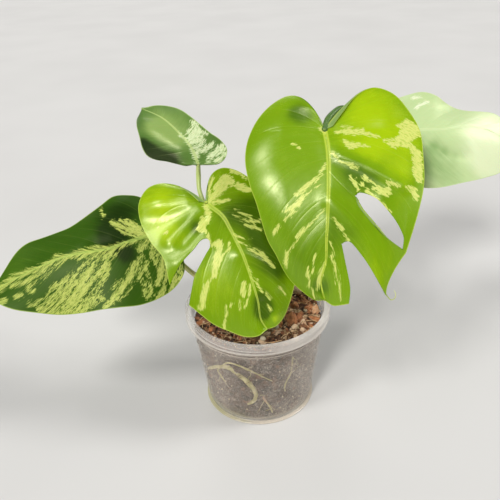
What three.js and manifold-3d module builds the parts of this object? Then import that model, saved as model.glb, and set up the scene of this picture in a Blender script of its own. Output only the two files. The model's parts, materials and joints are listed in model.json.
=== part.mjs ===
// A young variegated monstera in a clear nursery cup: five leaves on long petioles, a short main stem,
// pale roots against the wall and a loose mix of bark, perlite and coir. Millimetres, +Z up.
// The origin is the middle of the cup's flat underside. The photograph looks along +Y, slightly down.
import * as THREE from 'three';
import { mergeVertices } from 'three/addons/utils/BufferGeometryUtils.js';
import Module from 'manifold-3d';

const wasm = await Module();
wasm.setup();

// Driving dimensions
const SEAT = 0.3;
const POT = {
  height: 83,
  rimRadius: 55,
  mouthRadius: 50.4,
  rimDepth: 7,
  ringHeight: 70,
  shoulderRadius: 51.4,
  ringRadius: 50.6,
  footRadius: 42.8,
  heelRadius: 42.3,
  heelHeight: 7,
  wall: 0.9,
  floor: 1.6,
  sides: 32,
  drains: 6,
  drainRadius: 3,
  drainCircle: 24,
};
const MIX = {
  clearance: 0.9,
  top: 74.5,
  relief: 1.5,
  rings: [11, 23, 34, 43.5],
  chunks: 24,
  sizes: [4.5, 10],
};
const STEM = {
  foot: [4, 9, 57],
  tip: [3, 10, 96],
  footRadius: 7.5,
  tipRadius: 5,
};
const BLADE_THICKNESS = 0.8;
const RIB_DEPTH = 1;

const COLOURS = {
  lime: { color: 0x8fc412, roughness: 0.32 },
  green: { color: 0x3f7d22, roughness: 0.38 },
  deepGreen: { color: 0x2c6020, roughness: 0.4 },
  sage: { color: 0x8db873, roughness: 0.35 },
  stalk: { color: 0x9db764, roughness: 0.45 },
  stem: { color: 0x6f9440, roughness: 0.6 },
  root: { color: 0xd9cf9f, roughness: 0.7 },
  bark: { color: 0x5a3d2a, roughness: 0.95 },
  clear: { color: 0xdfe3e2, roughness: 0.15, transparent: true, opacity: 0.35 },
};

// Seeded draw, the same on every run
function seeded(seed) {
  let state = seed >>> 0;
  return () => {
    state = (state + 0x6d2b79f5) >>> 0;
    let t = Math.imul(state ^ (state >>> 15), 1 | state);
    t = (t + Math.imul(t ^ (t >>> 7), 61 | t)) ^ t;
    return ((t ^ (t >>> 14)) >>> 0) / 4294967296;
  };
}

function mix(a, b, f) {
  return a + (b - a) * f;
}

function clamp(value, low, high) {
  return Math.min(high, Math.max(low, value));
}

function vector(point) {
  return new THREE.Vector3(...point);
}

// Solids to and from the library that joins and cuts them
function solid(geometry) {
  const bare = geometry.clone();
  bare.deleteAttribute('normal');
  bare.deleteAttribute('uv');
  const merged = mergeVertices(bare, 1e-4);
  const triVerts = Uint32Array.from(merged.index.array);
  const vertProperties = Float32Array.from(merged.attributes.position.array);
  return new wasm.Manifold(new wasm.Mesh({ numProp: 3, vertProperties, triVerts }));
}

function geometryOf(manifold) {
  const mesh = manifold.getMesh();
  const geometry = new THREE.BufferGeometry();
  geometry.setAttribute('position', new THREE.BufferAttribute(Float32Array.from(mesh.vertProperties), 3));
  geometry.setIndex(Array.from(mesh.triVerts));
  geometry.computeVertexNormals();
  return geometry;
}

function largest(manifold) {
  return manifold.decompose().reduce((best, piece) => (piece.volume() > best.volume() ? piece : best));
}

function indexed(points, triangles) {
  const geometry = new THREE.BufferGeometry();
  geometry.setAttribute('position', new THREE.Float32BufferAttribute(points.flat(), 3));
  geometry.setIndex(triangles.flat());
  geometry.computeVertexNormals();
  return geometry;
}

// A round bar along a smooth curve, its radius given by the place along it. extra fattens it all round.
function bar(points, radiusAt, steps, sides, extra = 0) {
  const curve = new THREE.CatmullRomCurve3(points.map(vector), false, 'centripetal');
  const frames = curve.computeFrenetFrames(steps, false);
  const rings = [];
  for (let i = 0; i <= steps; i += 1) {
    const centre = curve.getPointAt(i / steps);
    const push = (i === steps ? extra : 0) - (i === 0 ? extra : 0);
    centre.addScaledVector(frames.tangents[i], push);
    const radius = radiusAt(i / steps) + extra;
    for (let j = 0; j < sides; j += 1) {
      const turn = (2 * Math.PI * j) / sides;
      const place = centre.clone();
      place.addScaledVector(frames.normals[i], radius * Math.cos(turn));
      place.addScaledVector(frames.binormals[i], radius * Math.sin(turn));
      rings.push(place.toArray());
    }
  }
  const triangles = [];
  for (let i = 0; i < steps; i += 1) {
    for (let j = 0; j < sides; j += 1) {
      const a = i * sides + j;
      const b = i * sides + ((j + 1) % sides);
      triangles.push([a, b, b + sides], [a, b + sides, a + sides]);
    }
  }
  const last = steps * sides;
  for (let j = 1; j < sides - 1; j += 1) {
    triangles.push([0, j + 1, j], [last, last + j, last + j + 1]);
  }
  return indexed(rings, triangles);
}

// The clear cup: foot ring, rounded heel, tapered wall, stacking ring and flat rolled rim
function cupRadiusInside(z) {
  const rise = (z - POT.heelHeight) / (POT.ringHeight - 1 - POT.heelHeight);
  return mix(POT.heelRadius, POT.ringRadius, rise) - POT.wall;
}

function cup() {
  const { height, rimRadius, mouthRadius, rimDepth, wall, floor } = POT;
  const rimFoot = height - rimDepth;
  const outline = [
    [0, 0],
    [POT.footRadius, 0],
    [POT.footRadius + 0.3, 0.5],
    [POT.footRadius - 0.2, 1.2],
    [POT.heelRadius - 1.9, 1.6],
    [POT.heelRadius - 1.7, 2.6],
    [POT.heelRadius - 0.6, 4.2],
    [POT.heelRadius, POT.heelHeight],
    [POT.ringRadius, POT.ringHeight - 1],
    [POT.shoulderRadius, POT.ringHeight],
    [POT.shoulderRadius + 0.6, rimFoot - 0.5],
    [rimRadius - 0.4, rimFoot],
    [rimRadius, rimFoot + 0.5],
    [rimRadius, height - 0.7],
    [rimRadius - 0.7, height],
    [mouthRadius + 0.6, height],
    [mouthRadius, height - 0.6],
    [mouthRadius, height - 2.6],
    [POT.shoulderRadius + 0.6 - wall, rimFoot - 0.5],
    [POT.shoulderRadius - wall, POT.ringHeight],
    [POT.ringRadius - wall, POT.ringHeight - 1],
    [POT.heelRadius - wall, POT.heelHeight],
    [POT.heelRadius - 1.7, 4.6],
    [POT.heelRadius - 3.2, 2.4],
    [POT.heelRadius - 4.4, floor],
    [0, floor],
  ];
  const profile = outline.map(([r, z]) => new THREE.Vector2(r, z));
  const turned = new THREE.LatheGeometry(profile, POT.sides);
  turned.rotateX(Math.PI / 2);
  let body = solid(turned);
  for (let i = 0; i < POT.drains; i += 1) {
    const turn = (2 * Math.PI * (i + 0.5)) / POT.drains;
    const drill = new THREE.CylinderGeometry(POT.drainRadius, POT.drainRadius, 8, 14);
    drill.rotateX(Math.PI / 2);
    drill.translate(POT.drainCircle * Math.cos(turn), POT.drainCircle * Math.sin(turn), 0);
    body = body.subtract(solid(drill));
  }
  return geometryOf(body);
}

// Roots run along the cup's wall. Each entry is [angle in degrees, height] on the wall, with the
// root's radius. from is the parent root and the place on it that a side root leaves.
const ROOT_SEAT = 0.8;
const CROWN = [4, 9, 49];
const CROWN_RADIUS = 6;
const ROOTS = [
  { radius: 1.7, wall: [[-150, 38], [-131, 51], [-120, 54], [-112, 52], [-104, 45], [-97, 38], [-94, 30], [-99, 20]] },
  { radius: 0.8, from: [0, 1], wall: [[-125, 56], [-110, 60], [-96, 55], [-88, 52], [-79, 44]] },
  { radius: 0.8, from: [0, 6], wall: [[-86, 24], [-80, 17], [-76, 11]] },
  { radius: 0.8, wall: [[-60, 62], [-60, 50], [-62, 41], [-64, 36], [-61, 28]] },
  { radius: 1.3, wall: [[58, 40], [72, 46], [90, 42], [108, 30], [118, 18]] },
  { radius: 0.8, from: [4, 1], wall: [[52, 38], [36, 30], [24, 18]] },
];

function rootRadius(root, share) {
  return root.radius * (1.1 - 0.4 * share);
}

function onWall([degrees, z], radius) {
  const reach = cupRadiusInside(z) - ROOT_SEAT - radius;
  const turn = THREE.MathUtils.degToRad(degrees);
  return [reach * Math.cos(turn), reach * Math.sin(turn), z];
}

// The smooth path, held back wherever it would press into the wall
function rootPath(root) {
  const span = root.wall.length + (root.from ? 0 : 1);
  const along = root.wall.map((place, i) => onWall(place, rootRadius(root, (span - root.wall.length + 1 + i) / span)));
  const lead = [];
  if (root.from) {
    const parent = ROOTS[root.from[0]];
    lead.push(onWall(parent.wall[root.from[1]], parent.radius));
  } else {
    const [x, y, z] = along[0];
    lead.push(CROWN, [mix(CROWN[0], x, 0.5), mix(CROWN[1], y, 0.5), mix(CROWN[2], z, 0.35) - 3]);
  }
  const curve = new THREE.CatmullRomCurve3([...lead, ...along].map(vector), false, 'centripetal');
  const count = Math.round((lead.length + along.length) * 1.5);
  return curve.getPoints(count).map((place, i) => {
    const reach = cupRadiusInside(place.z) - ROOT_SEAT - rootRadius(root, i / count);
    const pull = Math.min(1, reach / Math.hypot(place.x, place.y));
    return [place.x * pull, place.y * pull, place.z];
  });
}

function rootBar(root, extra) {
  const path = rootPath(root);
  return bar(path, (f) => rootRadius(root, f), path.length, 6, extra);
}

function crown(extra) {
  const ball = new THREE.SphereGeometry(CROWN_RADIUS + extra, 10, 7);
  ball.translate(...CROWN);
  return solid(ball);
}

function rootMass(extra) {
  return ROOTS.reduce((body, root) => body.add(solid(rootBar(root, extra))), crown(extra));
}

// Main stem: short, jointed by leaf scars, half of it in the mix
function stem(extra) {
  const swell = (f) => 0.5 * Math.cos(2 * Math.PI * 3 * f);
  const radiusAt = (f) => mix(STEM.footRadius, STEM.tipRadius, f) + swell(f);
  const middle = STEM.foot.map((value, i) => mix(value, STEM.tip[i], 0.5) + (i === 0 ? 1 : 0));
  return solid(bar([STEM.foot, middle, STEM.tip], radiusAt, 8, 12, extra));
}

// Leaves. joint is where the petiole meets the blade, tip the end of the midrib, and face the way the
// upper side looks. Blade places are millimetres along the midrib and across it. Each rib is
// [share of the midrib where it starts, [along, across] of its end on one margin, then on the other].
// A split follows one rib: inner is its blunt end near the midrib, above and below its two edges.
// droop is the fall of each half, arch the bow along the midrib, ripple [height, waves, phase] a half.
const LEAVES = [
  {
    name: 'newest',
    colour: 'lime',
    joint: [48.7, 12, 213],
    tip: [46, -40, 110.5],
    face: [-0.15, -0.86, 0.45],
    droop: [0.1, 0.1],
    soft: 6,
    arch: 7,
    lobe: 0.6,
    ripple: [[2.5, 2.5, 0.1], [2, 2, 0.3]],
    columns: 8,
    steps: 2,
    midrib: [[0, 0], [14, 2.5], [34, 3], [55, 2.5], [74, 1.5], [88, 1], [102, -2.5], [115, 0]],
    ribs: [
      [0, [-2.5, 5.5], [-5.5, -2.5]],
      [0, [-12.5, 12.5], [-17.5, -9]],
      [0, [-24, 21.5], [-25, -17.5]],
      [0, [-29.5, 33], [-26, -27]],
      [0, [-25, 46], [-19.5, -38]],
      [0, [-13.5, 55.5], [-8.5, -47]],
      [0.04, [2, 63], [5.5, -52.5]],
      [0.1, [21.5, 64.5], [20.5, -53.5]],
      [0.16, [38, 64.5], [36.5, -50]],
      [0.21, [56, 61], [49, -45.5]],
      [0.25, [82.5, 53.5], [60, -42.5]],
      [0.34, [91, 48], [73.5, -38.5]],
      [0.42, [99.5, 43.5], [84, -33]],
      [0.5, [106, 41], [94.5, -28]],
      [0.57, [111, 40.5], [102.5, -22.5]],
      [0.72, [118, 11], [109.5, -15]],
      [0.86, [118.5, 5.5], [115, -7]],
      [1, [115, 0], [115, 0]],
    ],
    splits: [
      {
        half: 0,
        rib: 10,
        inner: [45, 20.5],
        innerColumn: 3,
        above: [[43, 21.5], [43, 26], [46, 33], [51, 38.5], [62, 47], [73, 52], [80.5, 51.5]],
        below: [[51, 22], [58, 27], [65, 33], [72, 40], [80.5, 51.5]],
        closed: true,
      },
      {
        half: 0,
        rib: 14,
        inner: [76.5, 11.5],
        innerColumn: 2,
        above: [[75, 14], [75.5, 17.5], [82, 23], [89, 28], [96.5, 32.5], [103.5, 36.5], [111, 40.5]],
        below: [[79, 12], [87, 13.5], [99.5, 16], [108, 17], [117, 16]],
      },
    ],
  },
  {
    name: 'centre',
    colour: 'lime',
    joint: [-33.5, 0, 167],
    tip: [6, -44, 91],
    face: [0.08, -0.8, 0.55],
    droop: [0.18, 0.15],
    soft: 6,
    arch: 6,
    lobe: 0.6,
    ripple: [[2, 2, 0], [2, 2, 0.2]],
    columns: 7,
    steps: 2,
    midrib: [[0, 0], [12, 6], [23.5, 7], [37, 7], [48, 6.5], [60, 5], [76, 2.5], [88, -1], [96.5, 0]],
    ribs: [
      [0, [-4, 3], [-3.5, -4]],
      [0, [-11, 6.5], [-11, -7]],
      [0, [-17.5, 13], [-20.5, -12.5]],
      [0, [-19, 21], [-27.5, -21.5]],
      [0, [-14.5, 29], [-28.5, -32.5]],
      [0, [-6, 35.5], [-21, -42]],
      [0.03, [6, 41], [-8, -46.5]],
      [0.07, [21, 44.5], [7.5, -46]],
      [0.11, [35, 45.5], [22, -43]],
      [0.15, [48, 43.5], [40, -47]],
      [0.32, [61.5, 40], [65.5, -37.5]],
      [0.48, [72.5, 34.5], [77.5, -31.5]],
      [0.64, [82.5, 27], [87, -23.5]],
      [0.8, [93, 16.5], [94.5, -16]],
      [0.92, [97.5, 7.5], [98, -7.5]],
      [1, [96.5, 0], [96.5, 0]],
    ],
    splits: [
      {
        half: 1,
        rib: 9,
        inner: [25, -9.5],
        innerColumn: 2,
        above: [[22.5, -10.5], [22, -15], [25, -21], [31, -35], [40, -47]],
        below: [[28.5, -11], [32, -16], [41, -28], [49, -34.5], [58, -41]],
      },
    ],
  },
  {
    name: 'left',
    colour: 'deepGreen',
    joint: [-71, 8, 141],
    tip: [-195.5, -14, 105.5],
    face: [-0.1, -0.7, 0.7],
    droop: [0.3, 0.3],
    soft: 8,
    arch: 8,
    lobe: 0.6,
    ripple: [[2, 2.5, 0], [2, 2.5, 0.2]],
    columns: 5,
    steps: 2,
    midrib: [[0, 0], [22, 0], [37, 0.5], [63, -4], [89, -4], [120, -2], [131, 0]],
    ribs: [
      [0, [-2.5, 4.5], [-3, -3.5]],
      [0, [-8.5, 12.5], [-4.5, -15]],
      [0, [-11, 23.5], [-0.5, -28]],
      [0, [-8, 32.5], [6.5, -37]],
      [0, [2, 40], [15, -41]],
      [0.05, [14, 44], [24.5, -42]],
      [0.13, [28.5, 45], [35, -36.5]],
      [0.22, [41.5, 42.5], [47, -32]],
      [0.33, [54.5, 39.5], [60, -28.5]],
      [0.45, [69, 36.5], [72, -28]],
      [0.57, [84.5, 32], [83, -27.5]],
      [0.69, [100, 25], [94, -27]],
      [0.81, [114.5, 17.5], [104, -22.5]],
      [0.92, [125, 8.5], [116, -12.5]],
      [1, [131, 0], [131, 0]],
    ],
    splits: [],
  },
  {
    name: 'small',
    colour: 'green',
    joint: [-41, 40, 181.5],
    tip: [-86, 78, 213],
    face: [-0.1, -0.7, 0.7],
    droop: [0.2, 0.2],
    soft: 5,
    arch: 8,
    lobe: 0.5,
    ripple: [[1.5, 2, 0], [1.5, 2, 0.2]],
    columns: 4,
    steps: 2,
    midrib: [[0, 0], [11, -4.5], [26, -6], [42, -6], [54, -4], [66, -1]],
    ribs: [
      [0, [3, 3], [-4, -3.5]],
      [0, [5.5, 7.5], [-9.5, -10.5]],
      [0.06, [11.5, 11.5], [-9, -18.5]],
      [0.14, [19, 15.5], [-4, -24.5]],
      [0.24, [26.5, 20], [3.5, -25.5]],
      [0.35, [33, 22], [12, -23]],
      [0.46, [39.5, 20.5], [21, -22]],
      [0.58, [47.5, 16], [30.5, -21.5]],
      [0.7, [56.5, 11.5], [41, -20.5]],
      [0.82, [64, 7], [50, -17]],
      [0.92, [66.5, 2.5], [58.5, -10.5]],
      [1, [66, -1], [66, -1]],
    ],
    splits: [],
  },
  {
    name: 'back',
    colour: 'sage',
    joint: [100, 48, 199],
    tip: [203, 50, 179],
    face: [0.1, -0.75, 0.65],
    droop: [0.3, 0.3],
    soft: 8,
    arch: 8,
    lobe: 0.6,
    ripple: [[3, 2.6, 0.19], [2, 2, 0.2]],
    columns: 5,
    steps: 2,
    midrib: [[0, 0], [23, 3], [41, 5.5], [58, 11], [76, 11], [89, 6], [105, 0]],
    ribs: [
      [0, [-3, 6.5], [-2.5, -7.5]],
      [0, [-4, 15.5], [-1, -17]],
      [0, [0.5, 25], [5.5, -26.5]],
      [0, [8, 31.5], [14.5, -33.5]],
      [0.05, [16.5, 35], [24, -37]],
      [0.12, [25, 36.5], [32, -38]],
      [0.21, [34.5, 34], [40.5, -37.5]],
      [0.31, [42, 30.5], [48.5, -35.5]],
      [0.42, [51, 28], [58, -32]],
      [0.53, [61, 27], [68.5, -28]],
      [0.64, [71.5, 27], [78.5, -23.5]],
      [0.76, [81.5, 26], [86.5, -19.5]],
      [0.88, [90.5, 21], [94, -13.5]],
      [0.95, [98.5, 12], [99.5, -7.5]],
      [1, [105, 0], [105, 0]],
    ],
    splits: [],
  },
];

function polylinePoint(points, share) {
  const lengths = [0];
  for (let i = 1; i < points.length; i += 1) {
    lengths.push(lengths[i - 1] + Math.hypot(points[i][0] - points[i - 1][0], points[i][1] - points[i - 1][1]));
  }
  const wanted = share * lengths[lengths.length - 1];
  let i = 1;
  while (i < points.length - 1 && lengths[i] < wanted) {
    i += 1;
  }
  const f = clamp((wanted - lengths[i - 1]) / (lengths[i] - lengths[i - 1] || 1), 0, 1);
  return [mix(points[i - 1][0], points[i][0], f), mix(points[i - 1][1], points[i][1], f)];
}

function catmull(before, from, to, after, f) {
  const shape = (a, b, c, d) => {
    const cubic = 3 * b - a - 3 * c + d;
    return 0.5 * (2 * b + (c - a) * f + (2 * a - 5 * b + 4 * c - d) * f * f + cubic * f * f * f);
  };
  return [0, 1].map((k) => shape(before[k], from[k], to[k], after[k]));
}

// The midrib runs smoothly through its few points
function midribPoint(leaf, share) {
  const points = leaf.midrib;
  const curve = new THREE.SplineCurve(points.map(([x, y]) => new THREE.Vector2(x, y)));
  const place = curve.getPointAt(clamp(share, 0, 1));
  return [place.x, place.y];
}

// One rib from the midrib to the margin, as evenly spaced places. side is where a split leaves it.
function ribLine(leaf, half, rib, split, side) {
  const [share, ...ends] = leaf.ribs[rib];
  const start = midribPoint(leaf, share);
  const end = ends[half];
  const line = [];
  for (let j = 0; j <= leaf.columns; j += 1) {
    if (!split) {
      const f = j / leaf.columns;
      const bow = (share > 0 ? 0.1 : 0.03) * 4 * f * (1 - f) * (half === 0 ? 1 : -1);
      const x = mix(start[0], end[0], f) - bow * (end[1] - start[1]);
      const y = mix(start[1], end[1], f) + bow * (end[0] - start[0]);
      line.push([x, y]);
    } else if (j <= split.innerColumn) {
      line.push(polylinePoint([start, split.inner], j / split.innerColumn));
    } else if (split.closed && j === leaf.columns) {
      line.push(end);
    } else {
      const last = split.closed ? leaf.columns - 1 : leaf.columns;
      const f = (j - split.innerColumn) / (last - split.innerColumn);
      line.push(polylinePoint([split.inner, ...split[side]], f));
    }
  }
  return line;
}

// Stretches of a half between its splits: each is a list of rib lines with their rib numbers
function stretches(leaf, half) {
  const cuts = leaf.splits.filter((split) => split.half === half);
  const edges = [null, ...cuts, null];
  const found = [];
  for (let k = 0; k + 1 < edges.length; k += 1) {
    const first = edges[k] ? edges[k].rib : 0;
    const last = edges[k + 1] ? edges[k + 1].rib : leaf.ribs.length - 1;
    const lines = [];
    for (let rib = first; rib <= last; rib += 1) {
      const opening = rib === first && edges[k];
      const closing = rib === last && edges[k + 1];
      const split = opening || closing || null;
      lines.push(ribLine(leaf, half, rib, split, opening ? 'below' : 'above'));
    }
    found.push({ first, lines });
  }
  return found;
}

function heightAt(leaf, x, y, row, column) {
  const half = y > 0 ? 0 : 1;
  const length = leaf.midrib[leaf.midrib.length - 1][0];
  const along = x / length;
  const fall = leaf.droop[half] * (Math.hypot(y, leaf.soft) - leaf.soft);
  const bow = 4 * leaf.arch * along * (1 - along) * (along > 0 ? 1 : leaf.lobe);
  const [size, waves, phase] = leaf.ripple[half];
  const ripple = size * column * column * Math.sin(2 * Math.PI * (waves * row + phase));
  return bow - fall + ripple;
}

function bladeFrame(leaf) {
  const joint = vector(leaf.joint);
  const along = vector(leaf.tip).sub(joint).normalize();
  const face = vector(leaf.face);
  face.addScaledVector(along, -face.dot(along)).normalize();
  const across = new THREE.Vector3().crossVectors(face, along);
  return { joint, along, across, face };
}

function toWorld(frame, x, y, h) {
  const place = frame.joint.clone();
  place.addScaledVector(frame.along, x);
  place.addScaledVector(frame.across, y);
  place.addScaledVector(frame.face, h);
  return place;
}

// The middle surface of a blade: both halves as grids of rib lines, joined at the midrib
function bladeSurface(leaf) {
  const frame = bladeFrame(leaf);
  const points = [];
  const ribDepth = [];
  const triangles = [];
  const known = new Map();
  const rows = leaf.ribs.length - 1;
  const keep = (x, y, row, column, share) => {
    const h = heightAt(leaf, x, y, row, column);
    const place = toWorld(frame, x, y, h).toArray();
    const key = place.map((value) => value.toFixed(3)).join();
    if (!known.has(key)) {
      known.set(key, points.length);
      points.push(place);
      ribDepth.push(column === 0 ? RIB_DEPTH * (1 - 0.8 * share) : 0);
    }
    return known.get(key);
  };
  for (const half of [0, 1]) {
    for (const { first, lines } of stretches(leaf, half)) {
      let previous = null;
      for (let i = 0; i < lines.length; i += 1) {
        const substeps = i === lines.length - 1 ? 1 : leaf.steps;
        for (let k = 0; k < substeps; k += 1) {
          const f = k / leaf.steps;
          const next = Math.min(i + 1, lines.length - 1);
          const row = (first + i + f) / rows;
          const share = mix(leaf.ribs[first + i][0], leaf.ribs[Math.min(first + i + 1, rows)][0], f);
          const places = [];
          for (let j = 0; j <= leaf.columns; j += 1) {
            const before = lines[Math.max(i - 1, 0)][j];
            const after = lines[Math.min(i + 2, lines.length - 1)][j];
            const flat = catmull(before, lines[i][j], lines[next][j], after, f);
            const [x, y] = j === 0 ? midribPoint(leaf, share) : flat;
            places.push(keep(x, y, row, j / leaf.columns, share));
          }
          if (previous) {
            for (let j = 0; j < leaf.columns; j += 1) {
              const [a, b, c, d] = [previous[j], places[j], places[j + 1], previous[j + 1]];
              const pair = half === 0 ? [[a, b, c], [a, c, d]] : [[a, c, b], [a, d, c]];
              triangles.push(...pair.filter(([p, q, r]) => p !== q && q !== r && r !== p));
            }
          }
          previous = places;
        }
      }
    }
  }
  return { points, triangles, ribDepth, frame };
}

// A surface given thickness along its own normals, with a wall round every free edge
function thicken({ points, triangles, ribDepth }, extra = 0) {
  const normals = points.map(() => new THREE.Vector3());
  for (const [a, b, c] of triangles) {
    const [p, q, r] = [a, b, c].map((i) => vector(points[i]));
    const normal = q.sub(p).cross(r.sub(p));
    for (const i of [a, b, c]) {
      normals[i].add(normal);
    }
  }
  const offset = (side, i) => {
    const depth = BLADE_THICKNESS / 2 + extra + (side < 0 ? ribDepth[i] : 0);
    return vector(points[i]).addScaledVector(normals[i].normalize(), side * depth).toArray();
  };
  const upper = points.map((_, i) => offset(1, i));
  const lower = points.map((_, i) => offset(-1, i));
  const count = points.length;
  const all = triangles.map((t) => [...t]);
  all.push(...triangles.map(([a, b, c]) => [a + count, c + count, b + count]));
  const edges = new Set(triangles.flatMap(([a, b, c]) => [`${a},${b}`, `${b},${c}`, `${c},${a}`]));
  for (const edge of edges) {
    const [a, b] = edge.split(',').map(Number);
    if (!edges.has(`${b},${a}`)) {
      all.push([b, a, a + count], [b, a + count, b + count]);
    }
  }
  return indexed([...upper, ...lower], all);
}

function blade(leaf) {
  return thicken(bladeSurface(leaf));
}

// Petioles, each from its place on the stem to the underside of its blade's joint
const PETIOLES = {
  newest: {
    radii: [3.6, 2.5],
    path: [[3, 10, 90], [20, 12, 94], [44, 20, 122.5], [62, 28, 154], [73.5, 34, 183], [75.5, 38, 205],
      [70, 36, 217.5], [62.5, 30, 222], [57, 24, 221.5], [52, 18.5, 218]],
  },
  centre: {
    radii: [3.4, 2],
    path: [[3, 10, 90], [1, 10, 104], [-6, 14, 121], [-18, 16, 142], [-28, 12, 157], [-32.2, 6, 163.4]],
  },
  left: {
    radii: [3.2, 1.7],
    path: [[3, 9, 79], [-21, 8, 88.5], [-40.5, 7, 100.5], [-53.5, 9, 111.5], [-64, 12, 125], [-69.6, 11.8, 135]],
  },
  small: {
    radii: [3, 1.6],
    path: [[3, 10, 88], [-8, 13, 98], [-21, 18, 118], [-31.5, 24, 138.5], [-38, 29.5, 155], [-41, 35, 163],
      [-41.3, 40, 172]],
  },
  back: {
    radii: [3.3, 1.9],
    path: [[3, 11, 79], [20, 17, 85.5], [41, 30, 104], [62, 42, 133.5], [78.5, 48.5, 161.5], [92, 51.5, 184.5]],
  },
};

function petioleBar(leaf, extra) {
  const { radii, path } = PETIOLES[leaf.name];
  const [low, high] = radii;
  const { joint, face } = bladeFrame(leaf);
  const end = joint.addScaledVector(face, -(BLADE_THICKNESS / 2 + RIB_DEPTH + SEAT)).toArray();
  const radiusAt = (f) => mix(high, low, (1 - f) ** 2.5);
  return solid(bar([...path, end], radiusAt, Math.round(path.length * 1.7), 6, extra));
}

// Trimmed to sit just clear of the stem and of the blade's underside
function petiole(leaf) {
  const { joint, face } = bladeFrame(leaf);
  const reach = PETIOLES[leaf.name].radii[1] + 0.8;
  const ball = new THREE.SphereGeometry(reach, 10, 8);
  ball.translate(...joint.addScaledVector(face, reach - BLADE_THICKNESS / 2 - RIB_DEPTH - SEAT).toArray());
  const under = solid(thicken(bladeSurface(leaf), 2 * SEAT)).add(solid(ball));
  return geometryOf(largest(petioleBar(leaf, 0).subtract(stem(SEAT)).subtract(under)));
}

// The mix: a body that fills the cup, its top in low relief, with chunks sunk into it
function relief(x, y) {
  return MIX.relief * (Math.sin(x / 5.3 + 1.1) * Math.cos(y / 4.7) + 0.6 * Math.sin((x + y) / 3.1));
}

function mixBody() {
  const clearance = MIX.clearance;
  const low = POT.floor + SEAT;
  const outline = [
    [0, low],
    [POT.heelRadius - 5, low],
    [POT.heelRadius - 2.6, 4.8],
    [cupRadiusInside(POT.heelHeight) - clearance, POT.heelHeight],
    [cupRadiusInside(POT.ringHeight - 1) - clearance, POT.ringHeight - 1],
    [cupRadiusInside(POT.ringHeight - 1) - clearance, MIX.top],
    ...MIX.rings.slice().reverse().map((r) => [r, MIX.top]),
    [0, MIX.top],
  ];
  const turned = new THREE.LatheGeometry(outline.map(([r, z]) => new THREE.Vector2(r, z)), POT.sides);
  turned.rotateX(Math.PI / 2);
  const place = turned.attributes.position;
  for (let i = 0; i < place.count; i += 1) {
    const x = place.getX(i);
    const y = place.getY(i);
    if (place.getZ(i) > MIX.top - 0.01) {
      place.setZ(i, MIX.top + relief(x, y));
    }
  }
  return solid(turned);
}

function chunk(draw) {
  const [small, large] = MIX.sizes;
  const long = mix(small, large, draw() ** 1.5);
  const block = new THREE.BoxGeometry(long, long * mix(0.5, 0.8, draw()), long * mix(0.4, 0.6, draw()));
  const corners = new Map();
  const place = block.attributes.position;
  for (let i = 0; i < place.count; i += 1) {
    const key = [place.getX(i), place.getY(i), place.getZ(i)].join();
    if (!corners.has(key)) {
      corners.set(key, [0, 1, 2].map(() => (draw() - 0.5) * long * 0.22));
    }
    const [dx, dy, dz] = corners.get(key);
    place.setXYZ(i, place.getX(i) + dx, place.getY(i) + dy, place.getZ(i) + dz);
  }
  block.rotateX((draw() - 0.5) * 0.9);
  block.rotateY((draw() - 0.5) * 0.9);
  block.rotateZ(draw() * Math.PI);
  const reach = (POT.mouthRadius - 6.5) * Math.sqrt(mix(0.03, 1, draw()));
  const turn = draw() * 2 * Math.PI;
  const x = reach * Math.cos(turn);
  const y = reach * Math.sin(turn);
  block.translate(x, y, MIX.top + relief(x, y) + long * 0.08);
  return solid(block);
}

function substrate() {
  const draw = seeded(11);
  let body = mixBody();
  for (let i = 0; i < MIX.chunks; i += 1) {
    body = body.add(chunk(draw));
  }
  const ceiling = new THREE.CylinderGeometry(POT.mouthRadius - 0.9, POT.mouthRadius - 0.9, 100, POT.sides);
  ceiling.rotateX(Math.PI / 2);
  ceiling.translate(0, 0, MIX.top + 45);
  const below = new THREE.CylinderGeometry(POT.rimRadius, POT.rimRadius, 70, 12);
  below.rotateX(Math.PI / 2);
  below.translate(0, 0, 35);
  body = body.intersect(solid(ceiling).add(solid(below)));
  body = body.subtract(stem(SEAT)).subtract(rootMass(SEAT));
  for (const leaf of LEAVES.filter(({ name }) => PETIOLES[name].path[0][2] < STEM.tip[2] - 10)) {
    body = body.subtract(petioleBar(leaf, SEAT));
  }
  return geometryOf(largest(body));
}

function named(name, geometry, colour) {
  const mesh = new THREE.Mesh(geometry, new THREE.MeshStandardMaterial({ metalness: 0, ...COLOURS[colour] }));
  mesh.name = name;
  return mesh;
}

const plant = new THREE.Group();
plant.add(named('pot', cup(), 'clear'));
plant.add(named('substrate', substrate(), 'bark'));
plant.add(named('roots', geometryOf(rootMass(0).subtract(stem(SEAT))), 'root'));
plant.add(named('main_stem', geometryOf(stem(0)), 'stem'));
for (const leaf of LEAVES) {
  plant.add(named(`petiole_${leaf.name}`, petiole(leaf), 'stalk'));
  plant.add(named(`blade_${leaf.name}`, blade(leaf), leaf.colour));
}

export default plant;
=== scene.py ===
"""A young variegated monstera in a clear nursery cup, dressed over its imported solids.

Shapes are worked out in millimetres in the part's own frame and become metres as each piece is finished.
"""

import sys

import json
import logging
import math
import random
from collections.abc import Callable, Sequence
from dataclasses import dataclass, field
from enum import Enum

import bmesh
import bpy
import numpy as np
from mathutils import Matrix, Vector, noise

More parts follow.
